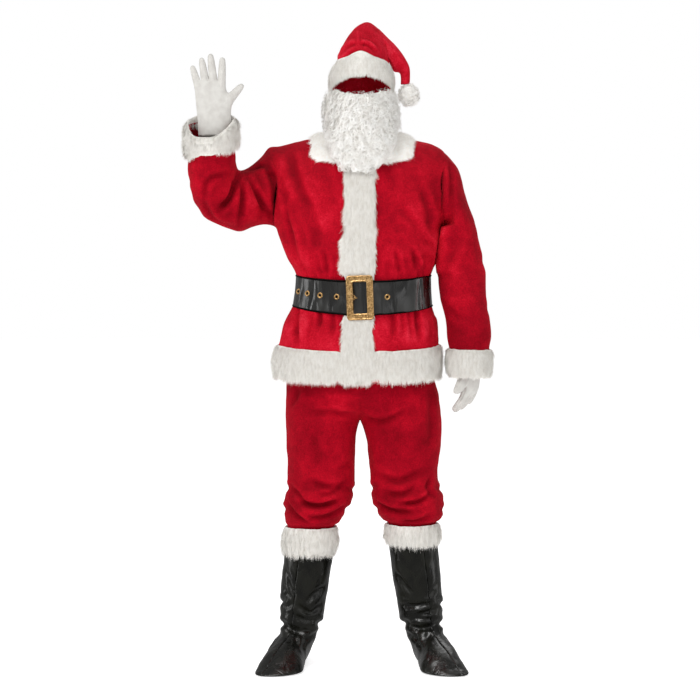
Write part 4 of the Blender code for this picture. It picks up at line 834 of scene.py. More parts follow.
def tree_of(pieces):
    """One search tree over several pieces."""
    points, faces, start = [], [], 0
    for piece in pieces:
        mesh = piece.data
        points += [v.co.copy() for v in mesh.vertices]
        faces += [[start + i for i in p.vertices] for p in mesh.polygons]
        start = len(points)
    return BVHTree.FromPolygons(points, faces)


def settle_pile(piece, cloth, sink=0.0045, low=0.004, high=0.012):
    """Draws the outer side of a trim's body towards the cloth it is sewn on, to leave room for the pile."""
    points, _ = read_points(piece)
    for i, p in enumerate(points):
        near, _, _, distance = cloth.find_nearest(Vector(p))
        share = min(1.0, max(0.0, (distance - low) / (high - low)))
        if share > 0:
            points[i] = p + (np.array(near) - p) / distance * sink * share
    write_points(piece, points)


def corners_of(piece):
    """A row of three point numbers for each triangle of a piece."""
    mesh = piece.data
    mesh.calc_loop_triangles()
    corners = np.empty(len(mesh.loop_triangles) * 3, int)
    mesh.loop_triangles.foreach_get("vertices", corners)
    return corners.reshape(-1, 3)


def spread_over(piece, count, seed, cloth=None, clear_of=0.0025):
    """Random places on a mesh, evenly by area, off the side that faces the cloth."""
    corners = corners_of(piece)
    points, normals = read_points(piece)
    a, b, c = (points[corners[:, k]] for k in range(3))
    area = np.linalg.norm(np.cross(b - a, c - a), axis=1)
    if cloth is not None:
        for i, p in enumerate((a + b + c) / 3):
            if cloth.find_nearest(Vector(p))[3] < clear_of:
                area[i] = 0
    rng = np.random.default_rng(seed)
    chosen = rng.choice(len(corners), size=count, p=area / area.sum())
    u, v = rng.random(count), rng.random(count)
    over = u + v > 1
    u[over], v[over] = 1 - u[over], 1 - v[over]
    weights = np.stack([1 - u - v, u, v], axis=1)
    where, facing = (np.einsum("ij,ijk->ik", weights, v[corners[chosen]]) for v in (points, normals))
    return where, unit(facing), rng


def haired(title, body, root, hair, finish):
    """A soft body and its hair in one mesh, with a root-to-tip number and a shading normal on each point;
    root is the body's own number."""
    base, base_normals = read_points(body)
    points, corners, tips, normals = hair
    points, normals = np.vstack([base, points]), np.vstack([base_normals, normals])
    corners = np.vstack([corners_of(body), corners + len(base)])
    tips = np.concatenate([np.full(len(base), root), tips]).astype(np.float32)
    bpy.data.objects.remove(body)
    mesh = bpy.data.meshes.new(title)
    mesh.vertices.add(len(points))
    mesh.vertices.foreach_set("co", points.ravel())
    mesh.loops.add(corners.size)
    mesh.loops.foreach_set("vertex_index", corners.ravel().astype(np.int32))
    mesh.polygons.add(len(corners))
    mesh.polygons.foreach_set("loop_start", np.arange(0, corners.size, 3, dtype=np.int32))
    mesh.update(calc_edges=True)
    mesh.attributes.new("tip", "FLOAT", "POINT").data.foreach_set("value", tips)
    mesh.materials.append(finish)
    piece = placed(title, mesh)
    mesh.shade_smooth()
    mesh.normals_split_custom_set_from_vertices([tuple(n) for n in normals])
    print(title, triangles(piece), "triangles")
    return piece


# %% Blades of fur
LOCK = 0.022                # metres: how far neighbouring blades lean alike
BLADE = 0.00062             # metres: half the width of a blade at its root


def pile(body, comb, count, length, seed, cloth=None, rise=0.24, clear_of=0.0025, skip=None, tuft=0.009,
         lean=0.60):
    """Tapered blades over a body; comb gives the way the pile lies at each place."""
    where, facing, rng = spread_over(body, count, seed, cloth, clear_of)
    if skip is not None:
        keep = ~skip(where)
        where, facing = where[keep], facing[keep]
        count = len(where)
    lie = unit(comb(where))
    against = np.clip(-np.sum(lie * facing, axis=1), 0, 1)      # on an upper edge the pile turns over it
    lie = unit(lie - facing * np.sum(lie * facing, axis=1, keepdims=True))
    beside = np.cross(facing, lie)
    origin = Vector((seed * 1.7, 0.0, seed * 0.9))
    sway = np.array([noise.noise(Vector(p) / LOCK + origin) for p in where])
    lift = np.array([noise.noise(Vector(p) / (LOCK * 0.6) - origin) for p in where])
    turn = 0.60 * sway + rng.normal(0, 0.17, count)
    lie = lie * np.cos(turn)[:, None] + beside * np.sin(turn)[:, None]
    up = (np.clip(rise + 0.18 * lift + rng.normal(0, 0.10, count), 0.05, 0.9) * (1 - 0.6 * against))[:, None]
    way = unit(lie * (1 - up * 0.5) + facing * (up * 0.8 + 0.08))
    long = length * np.clip(rng.normal(1.0, 0.20, count) + 0.22 * lift, 0.45, 1.6) * (1 - 0.50 * against)
    across = unit(np.cross(way, facing + rng.normal(0, 0.25, (count, 3))))
    width = (BLADE * np.clip(rng.normal(1.0, 0.2, count), 0.6, 1.5))[:, None]
    root = where - facing * 0.0008
    end = root + way * long[:, None]
    cell = np.floor((where + rng.normal(0, tuft * 0.15, (count, 3))) / tuft).astype(int)
    _, group = np.unique(cell @ np.array([1, 5003, 5003 ** 2]), return_inverse=True)
    group = group.ravel()
    middle = np.stack([np.bincount(group, end[:, k]) for k in range(3)], axis=1) / np.bincount(group)[:, None]
    end += (middle[group] - end) * rng.uniform(0.15, lean, (count, 1))      # hairs of a tuft lean together
    points = np.stack([root - across * width, root + across * width, end], axis=1).reshape(-1, 3)
    corners = np.arange(count)[:, None] * 3 + np.array([[0, 1, 2]])
    tips = np.tile([0.0, 0.0, 1.0], count)
    soft = unit(facing * 0.80 + np.cross(across, way) * 0.25 + rng.normal(0, 0.08, (count, 3)))
    return points, corners, tips, np.repeat(soft, 3, axis=0)


def fitted(name, points, normals):
    """The points of a trim's body, with what its CAD solid leaves out, in metres."""
    x, y, z = points.T      # views, so that a change here is a change in points
    if name == "fur_hem":       # its ends run under the placket's pile, square to the corner
        end = (1 - smoothstep(np.abs(x), 0.050, 0.095)) * (y < -0.05)
        x -= np.where(x > 0, 0.0220, -0.0050) * end
        upper = between(z, -0.640, -0.600, 0.0, 1.0)
        z += 0.0060 * end * upper + 0.0060 * (1 - end) * (1 - between(z, -0.688, -0.640, 0.0, 1.0))
    if name == "fur_placket":   # fuller on one side above the belt
        x -= 0.008 * between(z, -0.400, -0.380, -0.300, -0.240) * (x < 0)
        x -= 0.006 * smoothstep(-z, 0.48, 0.52)
        z += 0.004 * smoothstep(-z, 0.64, 0.688)
    if name == "fur_cuff_right":
        z -= front_drop(points)
        z += 0.016 * (1 - smoothstep(z, -0.081, -0.005))
    if name == "fur_collar_right":
        x += 0.36 * np.maximum(-0.105 - x, 0)
    if name == "hat_fur_band":  # a small peak over the forehead
        z += smoothstep(z, 0.170, 0.205) * (y < 0) * (0.007 * bell(x, 0, 0.020)
                                                      - 0.004 * bell(np.abs(x), 0.045, 0.018))
    if name == "hat_pompom":
        points -= normals * 0.003
    if "collar" in name:        # the two halves meet in the middle of the back
        x -= np.sign(x) * smoothstep(y, 0.03, 0.07) * (1 - smoothstep(np.abs(x), 0.004, 0.030)) * 0.0035
    return points


def fur_trim(name, cloth, comb, count, length, seed, narrow=1.0, finish=fur, **more):
    """One fur trim: its soft body and its pile as one mesh, standing for its CAD node; narrow is its share
    of the solid's width above the hem."""
    body = soft_body(name, name + "_body", levels=2, finish=finish)
    if cloth is not None:
        settle_pile(body, cloth)
    points, normals = read_points(body)
    middle = (points[:, 0].min() + points[:, 0].max()) / 2
    share = narrow + (1.0 - narrow) * smoothstep(-points[:, 2], 0.585, 0.605)
    points[:, 0] = middle + (points[:, 0] - middle) * share
    points = rumple(fitted(name, points, normals), normals, [(0.014, 0.0016)], seed * 3.1)
    write_points(body, points)
    hair = pile(body, comb, count, length, seed, cloth, **more)
    return haired(name + "_pile", body, root=0.30, hair=hair, finish=finish)


# %% [markdown]
# ## The way the pile lies
# A comb is a function that gives a direction at each place. On most trims the pile simply hangs down.

# %% Combs


def down(where):
    """Straight down."""
    return np.tile([0.0, 0.0, -1.0], (len(where), 1))


def from_placket(where):
    """Down, and out to both sides near the placket's edges."""
    x, _, z = where.T
    aside = np.sign(x) * smoothstep(np.abs(x), 0.018, 0.05) * 0.12
    aside -= 0.45 * between(z, -0.400, -0.380, -0.300, -0.240) * (x < -0.020)
    return np.stack([aside, np.zeros(len(where)), -np.ones(len(where))], axis=1)


def from_neck(where):
    """Away from the neck and down the shoulders."""
    return np.stack([where[:, 0] * 1.4, where[:, 1] * 1.4, np.full(len(where), -0.09)], axis=1)


def along_raised_arm(where):
    """Down from the hand to the elbow, spreading out."""
    out = where - np.array([-0.412, -0.180, 0.0])
    out[:, 2] = 0
    return unit(out) * 0.25 + np.array([0.0, 0.02, -1.0])


def spraying(where):
    """Every way, as a pompom's pile leans."""
    x, y, z = where.T
    return np.stack([np.sin(z * 530), np.sin(x * 610 + 2), np.sin(y * 570 + 4)], axis=1)


def under_belt(where):
    """Where the belt presses on the placket, no pile stands."""
    return (where[:, 2] > -0.492) & (where[:, 2] < -0.372)


# %% Fur trims
jacket_tree, hat_tree, leg_tree = (tree_of(c.values()) for c in (jacket_cloth, hat_cloth, trouser_cloth))
# Each row: the cloth it is sewn on, its comb, how many blades, their length in metres, and what else differs.
# The collars and the pompom take the glowing copy of the fur: painted light that lifts the beard's shadow and
# the pompom's dark edges.
collar = {"clear_of": 0.0055, "finish": glowing_fur}
boot_top = {"tuft": 0.013, "lean": 0.85}
trim_rows = {
    "fur_hem": (jacket_tree, down, 76000, 0.023, {"rise": 0.32}),
    "fur_placket": (jacket_tree, from_placket, 46000, 0.022,
                    {"rise": 0.32, "skip": under_belt, "narrow": 0.84}),
    "fur_collar_left": (jacket_tree, from_neck, 24000, 0.020, collar),
    "fur_collar_right": (jacket_tree, from_neck, 24000, 0.020, collar),
    "fur_cuff_left": (jacket_tree, down, 30000, 0.017, {"rise": 0.42}),
    "fur_cuff_right": (jacket_tree, along_raised_arm, 36000, 0.019, {"clear_of": 0.0035, "rise": 0.50}),
    "hat_fur_band": (hat_tree, down, 36000, 0.012, {}),
    "hat_pompom": (None, spraying, 16000, 0.012,
                   {"rise": 0.75, "narrow": 0.96, "finish": glowing_fur, "tuft": 0.006}),
    "boot_fur_left": (leg_tree, down, 23000, 0.025, boot_top),
    "boot_fur_right": (leg_tree, down, 26000, 0.025, boot_top),
}
trims = {}
for seed, (name, (cloth, comb, count, length, more)) in enumerate(trim_rows.items(), 1):
    trims[name] = fur_trim(name, cloth, comb, count, length, seed, **more)

# %% [markdown]
# ## Beard
# The beard is a net cap with rows of curled acrylic hair. Each lock here is three thin ribbons that wind in
# loops as they run down the beard's outer side; towards the lower edge the loops open wider.

# %% Beard
beard_body = soft_body("beard", "beard_body", levels=2, finish=curls)
points, normals = read_points(beard_body)
points = rumple(points - normals * 0.003, normals, [(0.016, 0.0045), (0.007, 0.0015)], seed=41.0)
points[:, 0] *= 1 + 0.13 * smoothstep(-points[:, 2], -0.01, 0.06)       # fuller at the bottom
write_points(beard_body, points)
under_beard = tree_of([beard_body, trims["fur_collar_left"], trims["fur_collar_right"], trims["fur_placket"]])


def followed(at, facing):
    """A step's place drawn to the surface under it, and the way out from there."""
    near, n, _, _ = under_beard.find_nearest(at)
    if (near - at).length < 0.012 and n.y < 0.3:
        facing = (facing * 0.8 + (n if n.dot(facing) > 0 else -n) * 0.2).normalized()
        at = at + (near - at) * 0.6
    return at, facing


def ringlets(count, seed, segments=22, strands=3):
    """Locks that wind down the outside of the beard in open loops, and on over the collar below it."""
    where, facing, rng = spread_over(beard_body, count * 2, seed)
    outside = (facing[:, 1] < 0.35) & (where[:, 1] < 0.006)
    outward = where[:, 0] * facing[:, 0] + (where[:, 1] + 0.02) * facing[:, 1] > 0
    points, corners, tips, soft = [], [], [], []
    for i in np.nonzero(outside & outward)[0][:count]:
        x, _, z = where[i]
        low = float(smoothstep(-z, -0.02, 0.06))
        corner = low * float(smoothstep(abs(x), 0.035, 0.070))
        ring = rng.uniform(0.0042, 0.0078) * (1 + (0.2 * low + 0.5 * corner) * rng.random())
        reach = rng.uniform(0.016, 0.038)
        turns = reach / rng.uniform(0.011, 0.018)
        phase = rng.uniform(0, 2 * math.pi)
        above = rng.uniform(0.0010, 0.0060)
        spread = np.clip(x / 0.06, -1, 1) * (0.15 + 0.65 * low)
        side_way = Vector((spread + rng.normal(0, 0.6), 0.0, -1.0))
        spin = rng.choice([-1, 1])
        bright = rng.uniform(-0.15, 0.15)
        for strand in range(strands):
            at, out = Vector(where[i]), Vector(facing[i])
            for k in range(segments + 1):
                t = k / segments
                at, out = followed(at, out)
                way = (side_way - out * side_way.dot(out)).normalized()
                across = out.cross(way)
                angle = phase + spin * turns * 2 * math.pi * t + strand * 0.10
                size = ring * (0.75 + 0.35 * t) * (1.0 - 0.17 * strand)
                radial = across * math.cos(angle) + way * (0.80 * math.sin(angle))
                middle = at + out * (above + 0.0025)
                spot = middle + (radial + out * (0.42 * math.sin(angle + 0.9))) * size
                half = radial * (0.00052 * (1 - 0.35 * t))      # half a ribbon's width, thinner at its tip
                points += [spot - half, spot + half]
                tips += [min(1.0, max(0.0, 0.25 + 0.6 * t + bright + 0.12 * strand))] * 2
                soft += [out * 0.90 + radial * 0.32] * 2
                if k:
                    b = len(points) - 4
                    corners += ([(b, b + 3, b + 1), (b, b + 2, b + 3)] if spin > 0 else
                                [(b, b + 1, b + 3), (b, b + 3, b + 2)])
                at = at + way * (reach / segments)
    return (np.array([tuple(p) for p in points]), np.array(corners), 0.30 + 0.70 * np.array(tips),
            unit(np.array([tuple(n) for n in soft])))


beard = haired("beard_curls", beard_body, root=0.10, hair=ringlets(1300, seed=51), finish=curls)

# %% [markdown]
# ## Gloves
# Plain dress gloves: a palm side and a back side in white jersey, sewn round the fingers. The halves keep
# their CAD form, subdivided so that the fingers round off and filled out a little towards the finger tips.

# %% Gloves
gloves = {}
for name in ["glove_left_back", "glove_left_palm", "glove_right_back", "glove_right_palm"]:
    glove = soft_body(name, name + "_cloth", levels=1, finish=cotton)
    points, normals = read_points(glove)
    tips = smoothstep(points[:, 2], 0.12, 0.20) if "right" in name else smoothstep(-points[:, 2], 0.69, 0.76)
    write_points(glove, points + normals * (0.0009 + 0.0012 * tips)[:, None])
    gloves[name] = glove
    print(glove.name, triangles(glove), "triangles")

# %% [markdown]
# ## Boot covers
# Vinyl covers over shoes: a tall loose shaft, creased at the ankle, with a seam down the front and the
# back, and a rounded toe. Inner and outer halves are welded, subdivided, creased and cut apart again.

# %% Boot folds, in millimetres
boot_folds = {
    "right": {
        "front": [
            (-217, -1220, -196, -1276, -186, -1320, 9, -6), (-225, -1270, -211, -1291, -191, -1323, 7, -5),
            (-224, -1329, -206, -1333, -189, -1318, 7, -5), (-91, -1277, -127, -1293, -157, -1323, 10, -7),
            (-103, -1323, -139, -1350, -183, -1323, 10, -9), (-108, -1358, -147, -1367, -181, -1358, 9, -7),
            (-226, -1381, -186, -1396, -120, -1403, 10, -10),
            (-191, -1397, -163, -1414, -128, -1428, 8, -6), (-189, -1392, -181, -1420, -175, -1451, 8, -5),
            (-194, -1387, -208, -1418, -239, -1467, 9, -5), (-203, -1399, -234, -1436, -256, -1473, 8, -4),
        ],
        "back": [
            (-220, -1370, -165, -1388, -110, -1370, 10, -9),
            (-215, -1265, -165, -1300, -115, -1290, 10, -6), (-200, -1330, -160, -1340, -120, -1325, 9, -6),
        ],
        "outer_right": [
            (-60, -1375, 0, -1390, 60, -1372, 10, -9), (-50, -1300, 0, -1330, 50, -1335, 10, -6),
            (-110, -1440, -60, -1415, -10, -1410, 9, -5),
        ],
        "outer_left": [
            (-60, -1370, 0, -1392, 50, -1380, 10, -8), (-110, -1445, -60, -1420, -10, -1412, 9, -5),
        ],
    },
    "left": {
        "front": [
            (95, -1232, 126, -1270, 153, -1296, 10, -7), (192, -1301, 211, -1282, 228, -1263, 9, -5),
            (120, -1331, 167, -1327, 222, -1322, 9, -8), (136, -1360, 183, -1350, 228, -1332, 10, -9),
            (126, -1378, 167, -1366, 228, -1370, 8, -6), (124, -1384, 167, -1393, 242, -1380, 10, -10),
            (210, -1389, 236, -1426, 279, -1469, 9, -6), (200, -1394, 183, -1435, 165, -1469, 9, -6),
            (218, -1390, 252, -1424, 294, -1477, 8, -4), (169, -1397, 154, -1428, 147, -1453, 8, -5),
        ],
        "back": [
            (110, -1370, 165, -1385, 230, -1370, 10, -9), (110, -1290, 165, -1300, 220, -1270, 10, -6),
            (120, -1325, 170, -1342, 215, -1330, 9, -6),
        ],
        "outer_left": [
            (-60, -1375, 0, -1390, 60, -1372, 10, -9), (-50, -1310, 0, -1335, 50, -1330, 10, -6),
            (-110, -1440, -60, -1415, -10, -1410, 9, -5),
        ],
        "outer_right": [
            (-60, -1370, 0, -1392, 50, -1380, 10, -8), (-110, -1445, -60, -1420, -10, -1412, 9, -5),
        ],
    },
}

# %% Boot covers
# For each boot: heel and toe on the floor, which way its inner side is, and a seed.
boot_lines = {"right": ((-0.155, 0.02), (-0.262, -0.215), 1, 67.0),
              "left": ((0.160, 0.02), (0.272, -0.215), -1, 61.0)}
boots = {}
for side, (heel, tip, inner, seed) in boot_lines.items():
    boot = welded(["boot_%s_inner" % side, "boot_%s_outer" % side], wall=0.0016, gap=0.0016, levels=3,
                  title="boot_" + side)
    points, normals = read_points(boot)
    seams = seam_places(boot)
    heel, tip = np.array(heel), np.array(tip)
    reach = np.linalg.norm(tip - heel)
    ahead = (tip - heel) / reach
    aside = np.array([-ahead[1], ahead[0]])
    far = (points[:, :2] - heel) @ ahead / reach
    off = (points[:, :2] - heel) @ aside
    inner_side = off * inner > 0
    # Subdivision rounds the sole and shortens the toe: both are set back.
    blunt = smoothstep(far, 0.40, 0.88) * (1 - smoothstep(points[:, 2], -1.44, -1.39))
    points[:, :2] += (off * np.where(inner_side, 0.95, 0.05) * blunt)[:, None] * aside
    sole = 1 - smoothstep(points[:, 2], floor_height + 0.012, floor_height + 0.060)
    # The heel draws in below the ankle, under the line of the leg, and the toe's sole reaches forward.
    heel_share = (1 - smoothstep(far, 0.15, 0.50)) * (1 - smoothstep(points[:, 2], -1.490, -1.425))
    points[:, :2] += (heel_share * np.where(inner_side, 0.026, 0.016))[:, None] * (-aside * inner)
    points[:, :2] += (0.020 * smoothstep(far, 0.70, 1.0) * sole)[:, None] * ahead
    toe = smoothstep(-points[:, 1], 0.10, 0.20)
    flatter = 0.55 * sole * smoothstep(points[:, 2], floor_height + 0.0005, floor_height + 0.004)
    points[:, 2] = floor_height + (points[:, 2] - floor_height) * (1 - flatter)
    points += (normals * np.array([1.0, 1.0, 0.0])) * (0.004 * sole + 0.004 * toe)[:, None]
    # The top is tucked into its fur.
    points[:, 2] -= 0.009 * smoothstep(points[:, 2], points[:, 2].max() - 0.045, points[:, 2].max())
    lifted = smoothstep(points[:, 2], -1.497, -1.475)[:, None]
    creased = press_folds(points, normals, boot_folds[side], gain=1.15, proud=0.0028)
    creased = rumple(creased, normals, [(0.055, 0.0025), (0.022, 0.0010)], seed)
    points = points + (creased - points) * lifted
    ankle = between(points[:, 2], -1.425, -1.410, -1.380, -1.362)
    points = relax(boot, points, 0.8 * ankle, rounds=10)
    points = sew(points, normals, seams, depth=0.0012, width=0.003, stitch=0.010)
    write_points(boot, points)
    boots |= panels(boot, wall=0.0014, keep=0.6, finish=vinyl)

# %% [markdown]
# ## Belt, buckle and eyelets
# The strap is vinyl turned over a stiffener, 88 mm wide, with a thin rolled edge above and below. The
# buckle is a plain frame with a raised bead; brass eyelets run along the tail.

# %% Belt strap
strap_folds = {
    "front": [
        (-30, -415, -45, -432, -62, -436, 6, -1.6), (42, -410, 50, -435, 52, -470, 6, -1.8),
        (64, -405, 76, -420, 86, -425, 5, -1.4), (-90, -395, -94, -430, -90, -480, 7, -1.2),
        (-130, -400, -134, -430, -132, -470, 7, -1.2), (130, -400, 128, -440, 132, -480, 6, -1.2),
    ],
    "back": [
        (-80, -400, -76, -440, -82, -480, 9, -1.4), (60, -400, 64, -440, 60, -480, 9, -1.4),
    ],
}
strap = soft_body("belt_strap", "belt_strap_vinyl", levels=0, finish=belt_vinyl)
modify(strap, "BEVEL", width=0.0011, segments=2, limit_method="ANGLE", angle_limit=math.radians(50))
subdivide(strap, 2)
points, normals = read_points(strap)
points = press_folds(points, normals, strap_folds)
buckle_low, buckle_high = (Vector(v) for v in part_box("belt_buckle"))
buckle_centre = (buckle_low + buckle_high) / 2
# Behind the buckle the strap is 7.5 % wider.
behind = (1 - smoothstep(np.abs(points[:, 0] - buckle_centre.x), 0.026, 0.046)) * (points[:, 1] < -0.05)
points[:, 2] += (points[:, 2] - buckle_centre.z) * 0.075 * behind
write_points(strap, points)
print("strap", triangles(strap), "triangles")

# %% Rolled edges of the strap


def rim_of(highest):
    """Places along the strap's upper or lower rim: from outside, up or down its wall to the last of it."""
    wall = tree_of([strap])
    height = read_points(strap)[0][:, 2]
    step = 0.001 if highest else -0.001
    rim = []
    for angle in np.linspace(-math.pi, math.pi, 97)[:-1]:
        outward = Vector((math.cos(angle), math.sin(angle), 0.0))
        start = Vector((0.0, -0.02, (height.min() + height.max()) / 2)) + outward * 0.5
        found = wall.ray_cast(start, -outward, 0.41)[0]
        while found is not None:
            last = found
            start.z += step
            found = wall.ray_cast(start, -outward, 0.41)[0]
        rim.append(np.array(last) - np.array([0, 0, step * 0.7]))
    for _ in range(3):
        rim = (np.roll(rim, 1, 0) + 2 * np.array(rim) + np.roll(rim, -1, 0)) / 4
    return rim


def piping(title, highest, radius=0.0031, sides=8):
    """A thin rolled edge that runs round the strap's upper or lower rim."""
    rim = rim_of(highest)
    tube = bmesh.new()
    rings = []
    for i, p in enumerate(rim):
        way = unit(rim[(i + 1) % len(rim)] - rim[i - 1])
        out = unit(np.cross(way, [0.0, 0.0, 1.0]))
        up = np.cross(out, way)
        rings.append([tube.verts.new(p + radius * (out * math.cos(a) + up * math.sin(a)))
                      for a in np.linspace(0, 2 * math.pi, sides, endpoint=False)])
    for one, two in zip(rings, rings[1:] + rings[:1]):
        for k in range(sides):
            tube.faces.new((one[k], one[(k + 1) % sides], two[(k + 1) % sides], two[k]))
    bmesh.ops.recalc_face_normals(tube, faces=tube.faces)
    mesh = mesh_from(tube, title)
    mesh.materials.append(rolled_edge_and_hole_vinyl)
    mesh.shade_smooth()
    return placed(title, mesh)


edges = {"upper": piping("belt_piping_upper", True), "lower": piping("belt_piping_lower", False)}
print("piping", triangles(edges["upper"]), "triangles each")

# %% Buckle frame
buckle_lean = math.radians(-2.0)
frame_width, frame_height, frame_bar, frame_thick = 0.0755, 0.125, 0.0185, 0.005      # metres
form = bpy.ops.mesh
upright = {"size": 1.0, "rotation": (math.radians(90), 0, 0), "location": (0, 0, 0)}


def edit(on):
    """Into edit mode with everything selected, or out of it."""
    bpy.ops.object.mode_set(mode="EDIT" if on else "OBJECT")
    if on:
        form.select_all(action="SELECT")


bpy.ops.object.select_all(action="DESELECT")
form.primitive_plane_add(**upright)
buckle = bpy.context.object
buckle.name = "belt_buckle_frame"
buckle.scale = (frame_width, frame_height, 1.0)
bpy.ops.object.transform_apply(location=False, rotation=True, scale=True)
edit(True)
form.bevel(offset=0.009, segments=4, affect="VERTICES")
form.select_all(action="DESELECT")
form.primitive_plane_add(**upright)
bpy.ops.transform.resize(value=(frame_width - 2 * frame_bar, 1.0, frame_height - 2 * frame_bar))
form.bevel(offset=0.003, segments=4, affect="VERTICES")
form.select_all(action="SELECT")
form.delete(type="ONLY_FACE")
form.select_all(action="SELECT")
form.bridge_edge_loops()
form.select_all(action="SELECT")
form.normals_make_consistent(inside=False)
edit(False)
if sum(p.normal.y * p.area for p in buckle.data.polygons) > 0:
    buckle.data.flip_normals()
edit(True)
for inset, step in ((0.0028, -0.0018), (0.0026, 0.0012)):       # the raised bead
    form.inset(thickness=inset, use_even_offset=True)
    bpy.ops.transform.translate(value=(0, step, 0))
form.select_all(action="SELECT")
form.subdivide(number_cuts=3)
edit(False)
modify(buckle, "SOLIDIFY", thickness=frame_thick - 0.0016, offset=-1)
modify(buckle, "BEVEL", width=0.0012, segments=3, limit_method="ANGLE", angle_limit=math.radians(25))
points, _ = read_points(buckle)
turned = points.copy()
turned[:, 0] = points[:, 0] * math.cos(buckle_lean) + points[:, 2] * math.sin(buckle_lean)
turned[:, 2] = -points[:, 0] * math.sin(buckle_lean) + points[:, 2] * math.cos(buckle_lean)
turned += np.array([buckle_centre.x, buckle_low.y + 0.0006, buckle_centre.z])
write_points(buckle, turned)
buckle.data.materials.append(brass)
buckle.data.shade_smooth()
print("buckle", triangles(buckle), "triangles")

# %% Prong
prong_low, prong_high = (Vector(v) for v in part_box("belt_prong"))
bpy.ops.object.select_all(action="DESELECT")
form.primitive_cylinder_add(vertices=12, radius=0.0024, depth=prong_high.x - prong_low.x,
                            rotation=(0, math.radians(90), 0), location=(0, 0, 0))
prong = bpy.context.object
prong.name = "belt_prong_pin"
bpy.ops.object.transform_apply(location=False, rotation=True, scale=True)
edit(True)
form.bevel(offset=0.0011, segments=3)
edit(False)
write_points(prong, read_points(prong)[0] + np.array((prong_low + prong_high) / 2))
prong.data.materials.append(brass)
prong.data.shade_smooth()

# %% Eyelets
bpy.ops.object.select_all(action="DESELECT")
form.primitive_torus_add(major_segments=28, minor_segments=8, major_radius=0.0061, minor_radius=0.0022,
                         location=(0, 0, 0))
ring = bpy.context.object
edit(True)
bpy.ops.transform.resize(value=(1, 1, 0.55))
form.select_all(action="DESELECT")
form.primitive_circle_add(vertices=20, radius=0.0048, fill_type="NGON", location=(0, 0, 0.0002))
edit(False)
ring.data.materials.append(brass)
ring.data.materials.append(rolled_edge_and_hole_vinyl)
# A dark disc in each eyelet's hole: painted shade where the hole would be in shadow.
ring.data.polygons[len(ring.data.polygons) - 1].material_index = 1      # the dark hole
ring_points, _ = read_points(ring)
eyelets = {}
for name in ["belt_eyelet_%d" % number for number in range(1, 8)]:
    facing = Vector((0, 0, 0))
    for polygon in nodes[name].data.polygons:
        if polygon.normal.y < -0.2:
            facing += polygon.normal * polygon.area
    turn = facing.normalized().to_track_quat("Z", "Y").to_matrix()
    low, high = (Vector(v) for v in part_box(name))
    eyelet = placed(name + "_ring", ring.data.copy())
    write_points(eyelet, np.array([turn @ Vector(p) + (low + high) / 2 for p in ring_points]))
    eyelet.data.shade_smooth()
    eyelets[name] = eyelet
bpy.data.objects.remove(ring)
print(len(eyelets), "eyelets")

# %% [markdown]
# ## What stands for what
# Every piece rides on the suit's one body, keeps the finish it was given and stands for its CAD nodes, which
# are hidden. For each cloth the table gives the flat width and length that hold its cut; only the cut's area
# is printed.

# %% Riding and standing in
groups = ((jacket_cloth, "plush"), (trouser_cloth, "plush"), (casing_cloth, "plush"), (hat_cloth, "plush"),
          (trims, "fur"), (gloves, "cotton"), (boots, "vinyl"), (eyelets, "brass"),
          ({"beard": beard}, "hair"), ({"belt_strap": strap}, "vinyl"),
          ({"belt_buckle": buckle, "belt_prong": prong}, "brass"))
for group, slot_name in groups:
    for name, piece in group.items():
        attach(piece, "root")
        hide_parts(name)
for piece in edges.values():
    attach(piece, "root")


def one_side(piece, layers=2):
    """Cloth area of a walled panel, in square metres."""
    return sum(p.area for p in piece.data.polygons) / layers


# By how a name starts: flat width and length of the piece that holds the cut, the cut's area, how it is held.
cuts = {
    "jacket_front": (0.34, 0.72, 0.205, "hung"), "jacket_back": (0.62, 0.74, 0.385, "hung"),
    "sleeve_left": (0.46, 0.66, 0.225, "hung"), "sleeve_right": (0.46, 0.66, 0.225, "draped"),
    "trouser_leg": (0.66, 0.80, 0.395, "hung"), "trouser_waistband": (0.98, 0.11, 0.100, "gathered"),
    "hat_crown": (0.30, 0.42, 0.058, "draped"), "boot": (0.30, 0.50, 0.098, "draped"),
    "glove": (0.15, 0.24, 0.023, "stretched"),
}
for group in (jacket_cloth, trouser_cloth, casing_cloth, hat_cloth, boots, gloves):
    for name, piece in group.items():
        width, length, area, held = next(cut for start, cut in cuts.items() if name.startswith(start))
        print("cloth", name, round(one_side(piece), 4), "cut", area)

# %% [markdown]
# ## Floor and light
# A pale floor and plain soft light: a large lamp high at the front, to the wearer's right, a weak one on
# the other side and a bright even surround. Three strips show only in glossy surfaces.

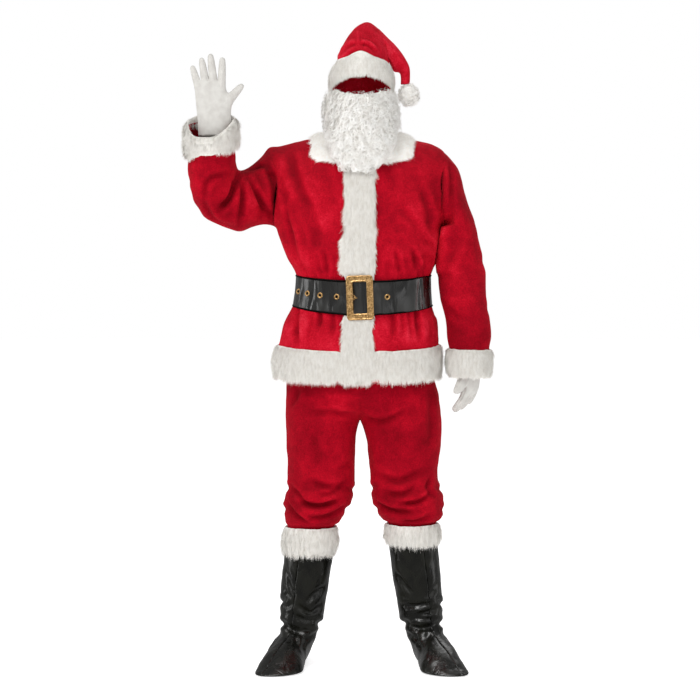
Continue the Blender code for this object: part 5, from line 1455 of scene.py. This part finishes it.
# %% Floor
bpy.ops.object.select_all(action="DESELECT")
bpy.ops.mesh.primitive_plane_add(size=30.0, location=(0, 0, floor_height))
floor = bpy.context.object
floor.name = "floor"
paper = new_finish("matt paper, white", {
    "Base Color": linear("F4F4F4"), "Roughness": 1.0, "Specular IOR Level": 0.0,
    "Emission Color": linear("FFFFFF"), "Emission Strength": 0.66})[0]
floor.data.materials.append(paper)
floor.visible_glossy = False       # vinyl and brass mirror the dim studio, not the bright floor
floor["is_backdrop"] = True

# %% Light
world = bpy.data.worlds.new("surround")
scene.world = world
world.use_nodes = True
tree = world.node_tree
tree.nodes.clear()
ray = add(tree, "LightPath")
shown, lit, dim = (add(tree, "Background", {"Color": (1, 1, 1, 1), "Strength": strength}).outputs[0]
                   for strength in (1.0, 0.47, 0.30))
soft = add(tree, "MixShader", links={0: ray.outputs["Is Glossy Ray"], 1: lit, 2: dim}).outputs[0]
either = add(tree, "MixShader", links={0: ray.outputs["Is Camera Ray"], 1: soft, 2: shown})
add(tree, "OutputWorld", links={"Surface": either.outputs[0]})


def soft_lamp(name, power, size, place, aim=(0, 0, -0.5), tall=None):
    """A square lamp, or a tall strip that only shows in glossy surfaces."""
    data = bpy.data.lights.new(name, "AREA")
    data.energy = power
    data.size = size
    if tall:
        data.shape = "RECTANGLE"
        data.size_y = tall
    lamp = placed(name, data)
    lamp.location = place
    lamp.rotation_euler = (Vector(aim) - Vector(place)).to_track_quat("-Z", "Y").to_euler()
    lamp.visible_diffuse = tall is None


soft_lamp("strip_left", 24, 1.0, (-3.8, -0.3, -0.7), tall=2.4)
soft_lamp("strip_right", 14, 1.0, (3.8, -0.3, -0.7), tall=2.4)
soft_lamp("strip_top", 95, 1.8, (-0.3, -1.1, 2.3), aim=(0, -0.2, -1.4), tall=1.8)
soft_lamp("key", 112, 1.5, (-2.3, -3.4, 2.9))
soft_lamp("front", 26, 1.4, (-0.7, -5.4, 1.5))
soft_lamp("fill", 18, 2.5, (3.0, -3.2, 1.0))
soft_lamp("back", 40, 2.5, (1.0, 3.6, 2.2))
scene.view_settings.view_transform = "Standard"
print("lamps set")

# %% Sizes, and the end
low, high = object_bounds()
print("visual box", [round(v, 4) for v in low], [round(v, 4) for v in high])
print("in all", sum(triangles(piece) for group, _ in groups for piece in group.values()), "triangles")
